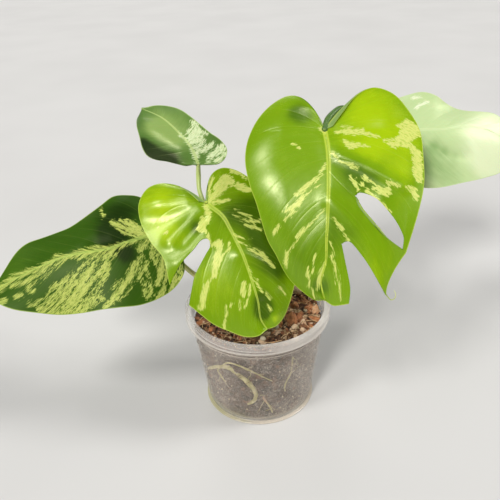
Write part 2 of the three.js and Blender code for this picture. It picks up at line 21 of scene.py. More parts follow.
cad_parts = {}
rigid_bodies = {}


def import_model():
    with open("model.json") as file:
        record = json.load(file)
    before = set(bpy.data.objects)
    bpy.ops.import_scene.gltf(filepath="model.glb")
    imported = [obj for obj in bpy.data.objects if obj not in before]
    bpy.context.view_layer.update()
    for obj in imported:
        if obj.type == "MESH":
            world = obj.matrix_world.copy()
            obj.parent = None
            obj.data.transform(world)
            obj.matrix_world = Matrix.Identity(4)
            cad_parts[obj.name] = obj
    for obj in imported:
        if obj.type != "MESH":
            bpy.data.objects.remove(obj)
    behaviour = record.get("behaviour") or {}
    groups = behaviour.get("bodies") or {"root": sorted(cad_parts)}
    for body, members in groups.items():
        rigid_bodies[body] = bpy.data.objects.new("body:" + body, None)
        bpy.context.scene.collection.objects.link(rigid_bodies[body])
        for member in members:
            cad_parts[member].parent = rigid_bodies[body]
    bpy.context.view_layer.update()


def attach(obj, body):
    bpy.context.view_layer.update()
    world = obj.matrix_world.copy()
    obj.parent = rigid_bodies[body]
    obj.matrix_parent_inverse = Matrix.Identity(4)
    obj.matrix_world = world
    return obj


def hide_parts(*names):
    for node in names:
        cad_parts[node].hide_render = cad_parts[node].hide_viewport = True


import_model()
MM = 0.001
FULL_TURN = 2 * math.pi
LOG = logging.getLogger("monstera")

Array = np.ndarray
Flat = tuple[float, float]
Point = tuple[float, float, float]
Spot = tuple[float, float, float, float]
Colour = tuple[float, float, float, float]
Stroke = Sequence[Point]
Ridge = tuple[float, float, tuple[Flat, ...]]
Rib = tuple[float, Flat, Flat]


class Slot(Enum):
    """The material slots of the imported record."""

    CLEAR = "clear_plastic"
    MIX = "bark_mix"
    ROOT = "root"
    STEM = "stem"
    STALK = "petiole"
    LIME = "leaf_lime"
    DARK = "leaf_dark"
    PALE = "leaf_pale"


class Half(Enum):
    """The two sides of a blade, by the sign of the place across it."""

    PLUS = 0
    MINUS = 1


class Lip(Enum):
    """The two edges of a cut: above is on the joint's side of it, below on the tip's."""

    ABOVE = 0
    BELOW = 1


def hang(name: str, data: bpy.types.ID) -> bpy.types.Object:
    """Puts a new object in the scene.

    Args:
        name: Its name.
        data: Its mesh, light or camera.

    Returns:
        The object.
    """
    made = bpy.data.objects.new(name, data)
    bpy.context.scene.collection.objects.link(made)
    return made


def display(red: float, green: float, blue: float) -> Colour:
    """Turns a colour as seen on a screen, 0 to 255, into the linear one that shaders take.

    Args:
        red, green, blue: The screen values.

    Returns:
        Linear red, green, blue and a full alpha.
    """
    shares = [v / 255 for v in (red, green, blue)]
    linear = [v / 12.92 if v <= 10 / 255 else ((v + 0.055) / 1.055) ** 2.4 for v in shares]
    return (*linear, 1.0)


# Shader bench


class Wire:
    """One output of a shader node, with sums written as Python expressions."""

    def __init__(self, bench: "Bench", node: bpy.types.Node, output: int = 0) -> None:
        """Keeps the bench, the node and which of its outputs is meant."""
        self.bench, self.node, self.output = bench, node, output

    @property
    def socket(self) -> bpy.types.NodeSocket:
        """The output socket."""
        return self.node.outputs[self.output]

    def pick(self, output: int) -> "Wire":
        """Another output of the same node."""
        return Wire(self.bench, self.node, output)

    def sum_of(self, operation: str, *values: "Wire | float") -> "Wire":
        """Adds a Math node that works on these values in order."""
        return self.bench.add("ShaderNodeMath", {"operation": operation}, dict(enumerate(values)))

    def __add__(self, other: "Wire | float") -> "Wire":
        """Sum."""
        return self.sum_of("ADD", self, other)

    def __radd__(self, other: "Wire | float") -> "Wire":
        """Sum, reflected."""
        return self.sum_of("ADD", other, self)

    def __sub__(self, other: "Wire | float") -> "Wire":
        """Difference."""
        return self.sum_of("SUBTRACT", self, other)

    def __rsub__(self, other: "Wire | float") -> "Wire":
        """Difference, reflected."""
        return self.sum_of("SUBTRACT", other, self)

    def __mul__(self, other: "Wire | float") -> "Wire":
        """Product."""
        return self.sum_of("MULTIPLY", self, other)

    def __rmul__(self, other: "Wire | float") -> "Wire":
        """Product, reflected."""
        return self.sum_of("MULTIPLY", other, self)

    def __truediv__(self, other: "Wire | float") -> "Wire":
        """Quotient."""
        return self.sum_of("DIVIDE", self, other)

    def size(self) -> "Wire":
        """The value without its sign."""
        return self.sum_of("ABSOLUTE", self)

    def part(self) -> "Wire":
        """The part after the decimal point."""
        return self.sum_of("FRACT", self)

    def atop(self, other: "Wire | float") -> "Wire":
        """The larger of two values."""
        return self.sum_of("MAXIMUM", self, other)


class Bench:
    """The node tree of one material."""

    def __init__(self, name: str) -> None:
        """Starts an empty material.

        Args:
            name: Its name.
        """
        self.material = bpy.data.materials.new(name)
        self.material.use_nodes = True
        self.tree = self.material.node_tree
        self.tree.nodes.clear()

    def add(self, kind: str, settings: dict | None = None, inputs: dict | None = None,
            output: int = 0) -> Wire:
        """Adds a node.

        Args:
            kind: The node's type.
            settings: Its own settings, set first; "stops" are a colour ramp's (place, colour) pairs.
            inputs: Values or wires by socket name or number.
            output: The output that the wire stands for.

        Returns:
            A wire from the node.
        """
        node = self.tree.nodes.new(kind)
        for key, value in (settings or {}).items():
            if key == "stops":
                ramp = node.color_ramp
                while len(ramp.elements) < len(value):
                    ramp.elements.new(0.5)
                for element, (place, colour) in zip(ramp.elements, value):
                    element.position, element.color = place, colour
            else:
                setattr(node, key, value)
        for key, value in (inputs or {}).items():
            if isinstance(value, Wire):
                self.tree.links.new(value.socket, node.inputs[key])
            else:
                node.inputs[key].default_value = value
        return Wire(self, node, output)

    def read(self, name: str) -> Wire:
        """The value of a mesh attribute; output 1 is its vector."""
        return self.add("ShaderNodeAttribute", {"attribute_name": name}, output=2)

    def reads(self, name: str) -> tuple[Wire, Wire, Wire]:
        """The three parts of a mesh's vector attribute."""
        return self.split(self.read(name).pick(1))

    def split(self, vector: Wire) -> tuple[Wire, Wire, Wire]:
        """The x, y and z of a vector."""
        parts = self.add("ShaderNodeSeparateXYZ", inputs={0: vector})
        return parts, parts.pick(1), parts.pick(2)

    def place(self) -> Wire:
        """Object coordinates in millimetres."""
        here = self.add("ShaderNodeTexCoord", output=3)
        return self.scaled(here, (1000, 1000, 1000))

    def scaled(self, vector: Wire, by: Point) -> Wire:
        """A vector times three numbers."""
        return self.add("ShaderNodeVectorMath", {"operation": "MULTIPLY"}, {0: vector, 1: by})

    def cloud(self, where: Wire, scale: float, detail: float = 2.0, rough: float = 0.5,
              warp: float = 0.0) -> Wire:
        """Soft noise about 0, from -0.5 to 0.5.

        Args:
            where: The coordinates.
            scale: Grains to one unit of the coordinates.
            detail: How many finer noises are added.
            rough: How strong those are.
            warp: How far the noise is pushed about.

        Returns:
            The noise.
        """
        made = self.add("ShaderNodeTexNoise", {"noise_dimensions": "3D"},
                        {"Vector": where, "Scale": scale, "Detail": detail, "Roughness": rough,
                         "Distortion": warp})
        return made - 0.5

    def cells(self, where: Wire, scale: float) -> Wire:
        """Cell noise: the distance to the nearest cell's middle."""
        return self.add("ShaderNodeTexVoronoi", {"feature": "F1"}, {"Vector": where, "Scale": scale})

    def step(self, value: Wire | float, low: float, high: float, start: float = 0.0,
             end: float = 1.0) -> Wire:
        """A smooth step from start to end as the value goes from low to high."""
        return self.add("ShaderNodeMapRange", {"interpolation_type": "SMOOTHSTEP"},
                        {"Value": value, "From Min": low, "From Max": high, "To Min": start, "To Max": end})

    def mix(self, share: Wire | float, low: "Wire | Colour", high: "Wire | Colour") -> Wire:
        """One colour laid over another; sockets 6 and 7 are the node's two colours."""
        return self.add("ShaderNodeMix", {"data_type": "RGBA", "blend_type": "MIX", "clamp_factor": True},
                        {0: share, 6: low, 7: high}, output=2)

    def bump(self, height: Wire, strength: float = 1.0) -> Wire:
        """A bump from a height in millimetres."""
        return self.add("ShaderNodeBump", inputs={"Height": height, "Distance": MM, "Strength": strength})

    def skin(self, **inputs: Wire | float | Colour) -> Wire:
        """The main shader; an input's name has _ for a space."""
        named = {name.replace("_", " "): value for name, value in inputs.items()}
        return self.add("ShaderNodeBsdfPrincipled", inputs=named)

    def done(self, surface: Wire) -> bpy.types.Material:
        """Joins the shader to the output and gives the material."""
        self.add("ShaderNodeOutputMaterial", inputs={"Surface": surface})
        return self.material


# Curves and fields


def polar(reach: float, turn: float, z: float = 0.0) -> Vector:
    """The place at a distance and a turn round the upright axis."""
    return Vector((reach * math.cos(turn), reach * math.sin(turn), z))


def centripetal(points: Sequence[Sequence[float]], count: int) -> Array:
    """A smooth path through its points.

    Args:
        points: The places that it passes, in order.
        count: How many evenly spaced places to give back.

    Returns:
        An array of count places.
    """
    p = np.array(points, float)
    p = np.vstack([2 * p[0] - p[1], p, 2 * p[-1] - p[-2]])
    dense = []
    for a, b, c, d in zip(p, p[1:], p[2:], p[3:]):
        before, span, after = (max(1e-4, float(np.sum((v - u) ** 2)) ** 0.25)
                               for u, v in ((a, b), (b, c), (c, d)))
        start = ((b - a) / before - (c - a) / (before + span) + (c - b) / span) * span
        end = ((c - b) / span - (d - b) / (span + after) + (d - c) / after) * span
        for f in np.linspace(0, 1, 40, endpoint=False):
            dense.append(b + start * f + (-3 * b + 3 * c - 2 * start - end) * f ** 2
                         + (2 * b - 2 * c + start + end) * f ** 3)
    dense.append(p[-2])
    return evenly(np.array(dense), count)


def evenly(path: Array, count: int | Array) -> Array:
    """Places spaced along a line by its own length.

    Args:
        path: The line's many places.
        count: How many evenly spaced places to give back, or the shares of the length to take.

    Returns:
        The places.
    """
    run = np.concatenate([[0], np.cumsum(np.linalg.norm(np.diff(path, axis=0), axis=1))])
    shares = np.linspace(0, 1, count) if isinstance(count, int) else count
    return np.stack([np.interp(shares * run[-1], run, path[:, k]) for k in range(path.shape[1])], axis=-1)


def uniform(points: Sequence[Sequence[float]], count: int = 60) -> Array:
    """A plain Catmull-Rom line.

    Args:
        points: The places that it passes, in order.
        count: How many places each span between two of them is cut into.

    Returns:
        The line's dense places.
    """
    p = np.array(points, float)
    p = np.vstack([p[0], p, p[-1]])
    dense = [catmull(*four, f) for four in zip(p, p[1:], p[2:], p[3:])
             for f in np.linspace(0, 1, count, endpoint=False)]
    return np.array([*dense, p[-1]])


def catmull(a: Array, b: Array, c: Array, d: Array, f: float) -> Array:
    """The place at share f between b and c, with a before and d after."""
    square, cube = 2 * a - 5 * b + 4 * c - d, 3 * b - a - 3 * c + d
    return 0.5 * (2 * b + (c - a) * f + square * f ** 2 + cube * f ** 3)


def nearness(x: Array, y: Array, strokes: Sequence[Stroke], reach: float = 8.0) -> Array:
    """How deep each place lies in a set of round-ended strokes.

    Args:
        x, y: The places.
        strokes: Lines of (x, y, half width).
        reach: The largest distance outside that is told apart.

    Returns:
        Millimetres inside the nearest stroke, negative outside.
    """
    best = np.full(x.shape, -reach)
    for stroke in strokes:
        for (ax, ay, ar), (bx, by, br) in zip(stroke, stroke[1:]):
            dx, dy = bx - ax, by - ay
            t = np.clip(((x - ax) * dx + (y - ay) * dy) / (dx * dx + dy * dy + 1e-9), 0, 1)
            best = np.maximum(best, ar + (br - ar) * t - np.hypot(x - ax - dx * t, y - ay - dy * t))
    return best


def distance(x: Array, y: Array, line: Sequence[Flat], reach: float) -> Array:
    """How far each place lies from a thin line, up to a reach."""
    return -nearness(x, y, [[(px, py, 0.0) for px, py in line]], reach)


def blobs(x: Array, y: Array, spots: Sequence[Spot]) -> Array:
    """The sum of soft round spots.

    Args:
        x, y: The places.
        spots: Each spot's x, y, radius and amount.

    Returns:
        The sum at each place.
    """
    total = np.zeros(x.shape)
    for sx, sy, radius, amount in spots:
        total += amount * np.exp(-((x - sx) ** 2 + (y - sy) ** 2) / radius ** 2)
    return total


# Mesh bench


class Sheet:
    """A bmesh of patches in millimetres, each a grid laid over worked-out places."""

    # How far a tube's domed end stands out and how wide it is there, in radii
    DOME = ((0.8, 0.0), (0.55, 0.6), (0.2, 0.9))

    def __init__(self) -> None:
        """Starts an empty mesh."""
        self.bm = bmesh.new()

    def layer(self, name: str) -> bmesh.types.BMLayerItem:
        """The layer of single values with that name, made if it isn't there yet."""
        layers = self.bm.verts.layers.float
        return layers.get(name) or layers.new(name)

    def lay(self, places: Array, layers: dict[str, Array], flip: bool = False) -> None:
        """Lays a grid over an array of places.

        Args:
            places: Rows by columns by three, in millimetres.
            layers: Values kept on the vertices, rows by columns, or by three for a vector.
            flip: True to turn the faces over.
        """
        rows, columns = places.shape[:2]
        kept = self.bm.verts.layers
        kinds = [kept.float_vector if values.ndim == 3 else kept.float for values in layers.values()]
        for name, kind in zip(layers, kinds):
            if kind.get(name) is None:
                kind.new(name)
        store = [(kind[name], values) for kind, (name, values) in zip(kinds, layers.items())]
        made = bmesh.ops.create_grid(self.bm, x_segments=columns - 1, y_segments=rows - 1, size=1.0)["verts"]
        for vert in made:
            i = round((vert.co.y + 1) / 2 * (rows - 1))
            j = round((vert.co.x + 1) / 2 * (columns - 1))
            vert.co = places[i, j]
            for layer, values in store:
                vert[layer] = Vector(values[i, j]) if values.ndim == 3 else float(values[i, j])
        if flip:
            faces = {face for vert in made for face in vert.link_faces}
            bmesh.ops.reverse_faces(self.bm, faces=list(faces))

    def tube(self, path: Array, radius: Callable[[float], float], sides: int = 12,
             section: Callable[[float, float], float] | None = None, up: Point = (0, 0, 1),
             layers: dict[str, float] | None = None) -> None:
        """Wraps a grid round a path as a closed tube with domed ends.

        Args:
            path: Places along its middle.
            radius: The radius by the share of the length.
            sides: Faces round it.
            section: A factor on the radius by the share of the length and the turn from up.
            up: The side that turn 0 faces.
            layers: Single values kept on all its vertices. A layer "run" holds the share of the length.
        """
        tangents = np.gradient(path, axis=0)
        tangents /= np.linalg.norm(tangents, axis=1)[:, None]
        ups = self.carried(tangents, np.array(up, float))
        turns = np.linspace(0, FULL_TURN, sides + 1)
        last = len(path) - 1
        plan = [(0, -push, size) for push, size in self.DOME]
        plan += [(i, 0.0, 1.0) for i in range(len(path))]
        plan += [(last, push, size) for push, size in reversed(self.DOME)]
        rings, runs = [], []
        for i, push, size in plan:
            share = i / last
            side = np.cross(tangents[i], ups[i])
            r = radius(share)
            middle = path[i] + tangents[i] * push * r
            ring = []
            for turn in turns:
                reach = r * size * (section(share, turn) if section else 1.0)
                ring.append(middle + reach * (math.cos(turn) * ups[i] + math.sin(turn) * side))
            ring[-1] = ring[0]
            rings.append(ring)
            runs.append([share] * (sides + 1))
        values = {name: np.full((len(plan), sides + 1), value) for name, value in (layers or {}).items()}
        values["run"] = np.array(runs)
        self.lay(np.array(rings), values, flip=True)

    @staticmethod
    def carried(tangents: Array, up: Array) -> list[Array]:
        """A direction square to each tangent, carried along a path without twisting.

        Args:
            tangents: The path's directions.
            up: The side that the first one faces.

        Returns:
            The directions.
        """
        first = up - tangents[0] * np.dot(up, tangents[0])
        if np.linalg.norm(first) < 1e-3:
            first = np.cross(tangents[0], (1.0, 0, 0))
        ups = [first / np.linalg.norm(first)]
        for tangent in tangents[1:]:
            turned = ups[-1] - tangent * np.dot(ups[-1], tangent)
            ups.append(turned / np.linalg.norm(turned))
        return ups

    def spin(self, outline: Sequence[Flat], steps: int) -> None:
        """Turns an outline once round the upright axis.

        Args:
            outline: Its places as radius and height, with both ends on the axis.
            steps: Faces round it.
        """
        verts = [self.bm.verts.new((r, 0, z)) for r, z in outline]
        edges = [self.bm.edges.new(pair) for pair in zip(verts, verts[1:])]
        bmesh.ops.spin(self.bm, geom=[*verts, *edges], cent=(0, 0, 0), axis=(0, 0, 1), angle=FULL_TURN,
                       steps=steps, use_merge=True)
        self.merge(0.001)
        self.outward()

    def merge(self, distance: float = 0.002) -> None:
        """Joins vertices that lie together."""
        bmesh.ops.remove_doubles(self.bm, verts=self.bm.verts, dist=distance)

    def outward(self) -> None:
        """Turns every face outwards."""
        bmesh.ops.recalc_face_normals(self.bm, faces=self.bm.faces)

    def mesh(self, name: str) -> bpy.types.Mesh:
        """Turns the sheet into a mesh in metres, which ends its use.

        Args:
            name: The mesh's name.

        Returns:
            The mesh.
        """
        bmesh.ops.scale(self.bm, vec=(MM, MM, MM), verts=self.bm.verts)
        mesh = bpy.data.meshes.new(name)
        self.bm.to_mesh(mesh)
        self.bm.free()
        return mesh

    def piece(self, name: str, material: bpy.types.Material, slot: Slot, nodes: Sequence[str],
              smooth: bool = True) -> bpy.types.Object:
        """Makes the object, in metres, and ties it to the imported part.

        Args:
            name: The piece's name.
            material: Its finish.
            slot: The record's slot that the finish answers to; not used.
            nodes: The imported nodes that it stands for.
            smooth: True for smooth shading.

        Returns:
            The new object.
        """
        mesh = self.mesh(name)
        mesh.polygons.foreach_set("use_smooth", [smooth] * len(mesh.polygons))
        mesh.materials.append(material)
        made = hang(name, mesh)
        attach(made, "root")
        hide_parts(*nodes)
        return made


class Heap:
    """Many small shapes, built a few at a time, because a mesh's operators slow down as it grows."""

    def __init__(self, batch: int = 40) -> None:
        """Starts an empty heap that gathers its shapes in small batches."""
        self.whole, self.part = Sheet(), Sheet()
        self.batch, self.held = batch, 0

    def next(self) -> Sheet:
        """Gives the next shape a place to join.

        Returns:
            The small mesh.
        """
        if self.held == self.batch:
            self.pour()
        self.held += 1
        return self.part

    def pour(self) -> None:
        """Adds the small mesh to the whole one."""
        self.part.merge(0.0005)
        self.part.outward()
        mesh = bpy.data.meshes.new("batch")
        self.part.bm.to_mesh(mesh)
        self.part.bm.free()
        self.whole.bm.from_mesh(mesh)
        bpy.data.meshes.remove(mesh)
        self.part, self.held = Sheet(), 0

    def close(self) -> Sheet:
        """The whole mesh, with the last batch in it."""
        self.pour()
        return self.whole


# Finishes


@dataclass(frozen=True)
class LeafSkin:
    """A glossy variegated blade, painted along its own veins.

    The grains say how fine a noise is across the veins, along them and from one half to the other.
    """

    name: str
    bright: Colour
    middle: Colour
    deep: Colour
    cream: Colour = display(206, 212, 112)
    faint: Colour = display(166, 188, 72)
    rib: Colour = display(198, 212, 104)
    back: Colour = display(128, 156, 84)
    shine: float = 0.23
    gloss: float = 0.62
    sheen: Colour = (1.0, 1.0, 0.62, 1.0)
    ragged: float = 1.25
    soft: float = 0.12
    heart: float = 2.5
    tear: Flat = (1.5, 0.3)
    halo: float = 0.25
    rib_width: float = 1.7
    rib_show: float = 0.8
    vein_show: float = 0.07
    grain: float = 0.05
    streak_grain: Point = (0.4, 0.07, 1)
    fine_grain: Point = (2.6, 0.5, 1)
    shred_grain: Point = (0.3, 0.055, 1)
    patch_grain: Point = (1.6, 0.3, 1)

    def paint(self) -> bpy.types.Material:
        """Builds the blade's material from the layers kept on its mesh.

        Returns:
            The material.
        """
        b = Bench(self.name)
        flow = b.read("flow").pick(1)
        vein, gap, edge = b.reads("lines")
        cream, tone_and_painted_light, midrib = b.reads("marks")
        turned = b.step(b.read("under"), 0.35, 0.65)
        # Green ground: broad drifts, streaks along the veins and the tone spots, which hold painted shade and
        # painted highlights as well as the leaf's own tone
        streaks = b.cloud(b.scaled(flow, self.streak_grain), 1.0, 3.0, 0.6)
        drift = b.cloud(flow, 0.06, 2.0)
        fine = b.cloud(b.scaled(flow, self.fine_grain), 1.0, 2.0, 0.6)
        depth = tone_and_painted_light + streaks * 0.35 + drift * 0.6 + fine * 0.12
        green = b.mix(b.step(depth, -0.9, 0.05), self.deep, self.middle)
        green = b.mix(b.step(depth, 0.0, 0.9), green, self.bright)
        # Cream marbling with torn edges, drawn out along the veins
        shred = b.cloud(b.scaled(flow, self.shred_grain), 1.0, 1.5, 0.5, 0.4) * (3.4 * self.ragged)
        torn = b.cloud(b.scaled(flow, (*self.tear, 1)), 1.0, 2.0, 0.55, 0.3) * (4.6 * self.ragged)
        body = cream.sum_of("MINIMUM", cream, self.heart) + shred + torn + fine * 0.7 + 0.1
        solid = b.step(body, -0.5 * self.soft, self.soft)
        haze = b.step(body, -0.9, 0.05, 0.0, self.halo)
        patch = b.cloud(b.scaled(flow, self.patch_grain), 1.0, 3.0, 0.6)
        marbling = b.mix(b.step(patch + fine * 0.5, -0.04, 0.2), self.cream, self.faint)
        marbling = b.mix(b.step(body, 0.1, 0.7), b.mix(0.5, marbling, self.faint), marbling)
        colour = b.mix(haze, green, b.mix(0.55, green, self.faint))
        colour = b.mix(solid, colour, marbling)
        # Veins: lateral lines, finer ones between them, the midrib and the thin pale margin
        lateral = b.step(self.off_vein(vein, gap), 0.1, 0.5, 1.0, 0.0) * b.step(edge, 1.0, 12.0)
        colour = b.mix(lateral * self.vein_show, colour, b.mix(0.3, self.rib, green))
        hair = b.step(self.off_vein(vein * 5.0, gap / 5.0), 0.05, 0.4, 1.0, 0.0)
        hair = hair * b.step(midrib, 2.0, 7.0) * b.step(edge, 2.0, 10.0)
        colour = b.mix(hair * (self.vein_show * 0.2), colour, self.rib)
        bone = b.step(midrib + fine * 0.6, self.rib_width * 0.5, self.rib_width, 1.0, 0.0)
        core = b.step(midrib, self.rib_width * 0.15, self.rib_width * 0.55, 0.62, 1.0)
        colour = b.mix(bone * core * self.rib_show, colour, self.rib)
        rim = b.step(edge, 0.25, 0.8, 1.0, 0.0)
        colour = b.mix(rim * 0.8, colour, b.mix(0.4, self.faint, self.rib))
        # Underside: paler, with its ribs standing out
        back = b.mix(b.step(depth, -0.8, 0.8), b.mix(0.35, self.back, self.deep), self.back)
        back = b.mix(solid * 0.6, back, self.faint)
        back = b.mix((lateral * 0.6).atop(bone), back, self.rib)
        colour = b.mix(turned, colour, back)
        # Gloss and relief
        pores = b.cells(flow, 2.4)
        rough = self.shine + streaks * 0.1 + drift * 0.1 + pores * 0.05 + turned * 0.22
        height = pores * 0.02 + fine * 0.04 + streaks * self.grain
        height = height - hair * 0.01 - lateral * 0.025 + solid * 0.015
        return b.done(b.skin(Base_Color=colour, Roughness=rough, Normal=b.bump(height, 0.8), IOR=1.45,
                             Specular_IOR_Level=self.gloss, Specular_Tint=self.sheen,
                             Subsurface_Weight=0.05, Subsurface_Scale=0.0006))

    @staticmethod
    def off_vein(vein: Wire, gap: Wire) -> Wire:
        """Millimetres to the nearest vein, from the running number and the gap between two veins."""
        return ((vein + 0.5).part() - 0.5).size() * gap


@dataclass(frozen=True)
class StalkSkin:
    """A smooth green stalk with pale flecks and long fine streaks."""

    name: str
    low: Colour
    high: Colour
    fleck: Colour = display(214, 216, 150)
    brown: Colour = display(120, 96, 52)
    rough: float = 0.42
    streak_grain: Point = (1.3, 1.3, 0.16)

    def paint(self) -> bpy.types.Material:
        """Builds the stalk's material.

        Returns:
            The material.
        """
        b = Bench(self.name)
        run, groove = b.read("run"), b.read("groove")
        here = b.place()
        streak = b.cloud(b.scaled(here, self.streak_grain), 1.0, 3.0, 0.6)
        fine = b.cloud(here, 1.8, 3.0, 0.6)
        colour = b.mix(b.step(run + streak * 0.5, 0.05, 0.95), self.low, self.high)
        colour = b.mix(b.step(streak + fine * 0.4, 0.06, 0.2, 0.0, 0.5), colour, self.fleck)
        colour = b.mix(b.step(fine + streak * 0.3, 0.2, 0.3, 0.0, 0.35), colour, self.brown)
        # Painted shade in the upper channel: darker where the skin lies inside the stalk's round
        colour = b.mix(b.step(groove, 0.55, 0.95, 0.0, 0.45), colour, b.mix(0.5, self.low, self.brown))
        colour = b.mix(b.step(run + fine * 0.05, 0.0, 0.05, 0.7, 0.0), colour, self.brown)
        rough = self.rough + fine * 0.2 + streak * 0.15
        normal = b.bump(streak * 0.3 + fine * 0.12, 0.7)
        return b.done(b.skin(Base_Color=colour, Roughness=rough, Normal=normal, Subsurface_Weight=0.05,
                             Subsurface_Scale=0.001, Coat_Weight=0.12, Coat_Roughness=0.25))


@dataclass(frozen=True)
class RootSkin:
    """Pale roots, dusted with brown and pinkish towards their ends."""

    name: str = "root_skin"
    pale: Colour = display(214, 202, 150)
    olive: Colour = display(168, 160, 96)
    pink: Colour = display(188, 120, 104)
    dirt: Colour = display(92, 68, 46)

    def paint(self) -> bpy.types.Material:
        """Builds the roots' material.

        Returns:
            The material.
        """
        b = Bench(self.name)
        run = b.read("run")
        here = b.place()
        patch = b.cloud(here, 0.22, 3.0)
        fine = b.cloud(here, 1.5, 4.0, 0.65)
        colour = b.mix(b.step(patch, -0.1, 0.14), self.olive, self.pale)
        colour = b.mix(b.step(run + patch * 0.3, 0.45, 0.8, 0.9, 0.0) * b.read("blush"), colour, self.pink)
        colour = b.mix(b.step(fine + patch * 0.5, 0.1, 0.26), colour, self.dirt)
        normal = b.bump(fine * 0.5 + patch * 0.5, 0.9)
        return b.done(b.skin(Base_Color=colour, Roughness=0.72 + fine * 0.3, Normal=normal))


@dataclass(frozen=True)
class BarkSkin:
    """Bark chips from near black to orange brown, each with its own tint, flaked along its grain."""

    name: str = "bark_skin"
    grain: float = 1.0
    flake_grain: Point = (0.5, 0.5, 2.4)
    crack: Colour = display(24, 17, 13)
    dust: Colour = display(212, 152, 106)
    tints: tuple[tuple[float, Colour], ...] = (
        (0.0, display(34, 24, 18)), (0.22, display(82, 54, 36)), (0.42, display(136, 92, 60)),
        (0.62, display(190, 122, 78)), (0.8, display(222, 150, 98)), (1.0, display(240, 206, 168)),
    )

    def paint(self) -> bpy.types.Material:
        """Builds the chips' material.

        Returns:
            The material.
        """
        b = Bench(self.name)
        here = b.place()
        drift = b.cloud(here, 0.35, 3.0)
        fine = b.cloud(here, 2.2 * self.grain, 4.0, 0.7)
        flake = b.cloud(b.scaled(here, self.flake_grain), 1.0, 3.0, 0.6, 0.4)
        base = b.add("ShaderNodeValToRGB", {"stops": self.tints},
                     {0: b.read("tint") + drift * 0.35 + flake * 0.35})
        colour = b.mix(b.step(fine, -0.02, -0.16), base, b.mix(0.5, base, self.crack))
        colour = b.mix(b.step(fine + flake * 0.6, 0.16, 0.3, 0.0, 0.45), colour, self.dust)
        return b.done(b.skin(Base_Color=colour, Roughness=0.82 + fine * 0.3,
                             Normal=b.bump(flake * 1.1 + fine * 0.6)))


@dataclass(frozen=True)
class PerliteSkin:
    """Puffed white grains, pitted and a little stained."""

    name: str = "perlite_skin"
    white: Colour = display(244, 230, 194)
    stained: Colour = display(184, 156, 112)
    pit: Colour = display(150, 132, 104)

    def paint(self) -> bpy.types.Material:
        """Builds the grains' material.

        Returns:
            The material.
        """
        b = Bench(self.name)
        here = b.place()
        pits = b.cells(here, 2.6)
        stain = b.cloud(here, 0.9, 3.0)
        colour = b.mix(b.step(stain + b.read("tint") * 0.3, 0.0, 0.35), self.white, self.stained)
        colour = b.mix(b.step(pits, 0.5, 0.8, 0.0, 0.5), colour, self.pit)
        return b.done(b.skin(Base_Color=colour, Roughness=0.85 + stain * 0.2,
                             Normal=b.bump(pits * 0.6 + stain * 0.4)))


@dataclass(frozen=True)
class FibreSkin:
    """Coir threads, tan to dark brown."""

    name: str = "fibre_skin"
    dark: Colour = display(104, 72, 42)
    tan: Colour = display(228, 192, 142)

    def paint(self) -> bpy.types.Material:
        """Builds the threads' material.

        Returns:
            The material.
        """
        b = Bench(self.name)
        fine = b.cloud(b.place(), 1.6, 3.0)
        colour = b.mix(b.step(b.read("tint") + fine, 0.1, 0.9), self.dark, self.tan)
        return b.done(b.skin(Base_Color=colour, Roughness=0.85 + fine * 0.2, Normal=b.bump(fine * 0.3)))


